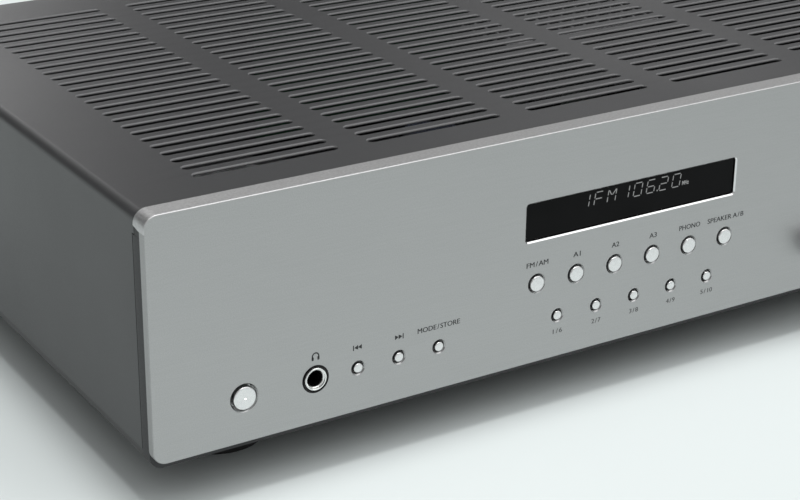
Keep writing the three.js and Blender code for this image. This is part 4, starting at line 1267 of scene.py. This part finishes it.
def finish_inner_nodes():
    for name, finish in INNER_FINISHES.items():
        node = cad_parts[name]
        node.data.materials.clear()
        node.data.materials.append(finish)
        weld = node.modifiers.new("weld", "WELD")
        weld.merge_threshold = 1e-6
        edges = node.modifiers.new("edges", "BEVEL")
        edges.width = 0.25 * MM
        edges.segments = 2
        edges.angle_limit = math.radians(40)


# ---- floor, light and camera

# The camera was fitted to the photograph, in millimetres.
CAMERA_AT = (-469.9, -717.6, 369.0)
CAMERA_AIM = (-126.28, -171.03, 98.33)
CAMERA_ROLL = 0.56
CAMERA_LENS = 87.14
# Where the glows lie, seen from the receiver.
REAR_GLOW = (0.15, 0.97, 0.19)
REAR_RIGHT_GLOW = (0.62, 0.72, 0.31)
OVERHEAD_GLOW = (0.49, -0.39, 0.78)


def make_floor():
    """A plain pale matt floor."""
    finish = Finish("floor", (0.72, 0.77, 0.765), 0.9, IOR=1.05)
    finish.shade(finish.noise(0.8, 3), 0.99, 1.01)
    mesh = bpy.data.meshes.new("floor")
    half = 12.0
    corners = [(-half, -half, 0), (half, -half, 0), (half, half, 0), (-half, half, 0)]
    mesh.from_pydata(corners, [], [(0, 1, 2, 3)])
    mesh.materials.append(finish.material)
    floor = placed("floor", mesh)


def point_at(obj, at, aim):
    """Puts a lamp or a camera at a place, facing another."""
    obj.location = Vector(at)
    obj.rotation_mode = "QUATERNION"
    obj.rotation_quaternion = (Vector(aim) - obj.location).to_track_quat("-Z", "Y")


def add_softbox():
    data = bpy.data.lights.new("overhead", "AREA")
    data.size = 0.5
    data.energy = 24
    point_at(placed("overhead", data), (-0.12, -0.14, 2.2), (-0.05, -0.05, 0.05))


def add_world():
    """A soft gradient, brighter in front and overhead, with three broad glows that stand for softboxes."""
    world = bpy.data.worlds.new("studio")
    world.use_nodes = True
    world.cycles.sampling_method = "NONE"
    tree = world.node_tree

    def spread(value, from_low, from_high, low, high):
        return map_range(tree, value, from_low, from_high, low, high)

    def glow(direction, start, end, amount):
        toward = Vector(direction).normalized()
        facing = add_node(tree, "ShaderNodeVectorMath", {0: way, 1: toward}, operation="DOT_PRODUCT")
        return spread(facing.outputs["Value"], start, end, 0, amount)

    def total(a, b):
        return add_node(tree, "ShaderNodeMath", {0: a, 1: b}, operation="ADD").outputs["Value"]

    way = add_node(tree, "ShaderNodeTexCoord").outputs["Generated"]
    parts = add_node(tree, "ShaderNodeSeparateXYZ", {"Vector": way}).outputs
    level = total(spread(parts["Y"], -0.3, 0.5, 0.42, 0.085), spread(parts["Z"], 0.5, 1.0, 0, 0.4))
    level = total(level, glow(REAR_GLOW, 0.967, 0.992, 2.9))
    level = total(level, glow(REAR_RIGHT_GLOW, 0.98, 0.998, 0.65))
    level = total(level, glow(OVERHEAD_GLOW, 0.8, 0.95, 1.3))
    tree.links.new(level, tree.nodes["Background"].inputs["Strength"])
    tree.nodes["Background"].inputs["Color"].default_value = (1, 1, 1, 1)
    bpy.context.scene.world = world


def add_camera():
    data = bpy.data.cameras.new("camera")
    data.sensor_width = 36
    data.lens = CAMERA_LENS
    data.clip_end = 100
    camera = placed("camera", data)
    point_at(camera, Vector(CAMERA_AT) * MM, Vector(CAMERA_AIM) * MM)
    camera.rotation_quaternion @= Quaternion((0, 0, 1), math.radians(CAMERA_ROLL))
    bpy.context.scene.camera = camera
    bpy.context.scene.view_settings.view_transform = "Standard"


# ---- the receiver

make_cover()
make_fascia()
make_subframe()
make_window()
make_readout()
make_buttons()
make_knob("volume_knob", radius=21, spindle=3, rim=1.0, dish=0.8, pointer=1.4)
for tone_knob in TONE_KNOBS:
    make_knob(tone_knob, radius=6.5, spindle=2, rim=0.6, dish=0.3, pointer=0.8)
make_jack()
make_front_legends()
volume_marks()
make_base()
for end in ("front", "rear"):
    for side in ("left", "right"):
        make_foot(f"foot_{end}_{side}")
make_screws()
make_rear_panel()
make_phono("line_input_sockets", columns=5, rows=2)
make_phono("output_sockets", columns=2, rows=2)
make_speaker_block()
for cap_name in BINDING_CAPS[:4]:
    make_binding_cap(cap_name, CAP_BLACK)
for cap_name in BINDING_CAPS[4:]:
    make_binding_cap(cap_name, RED_PLASTIC)
make_fm_socket()
make_am_terminals()
make_inlet()
make_switch()
make_rocker()
make_rear_legends()
finish_inner_nodes()
make_floor()
add_softbox()
add_world()
add_camera()
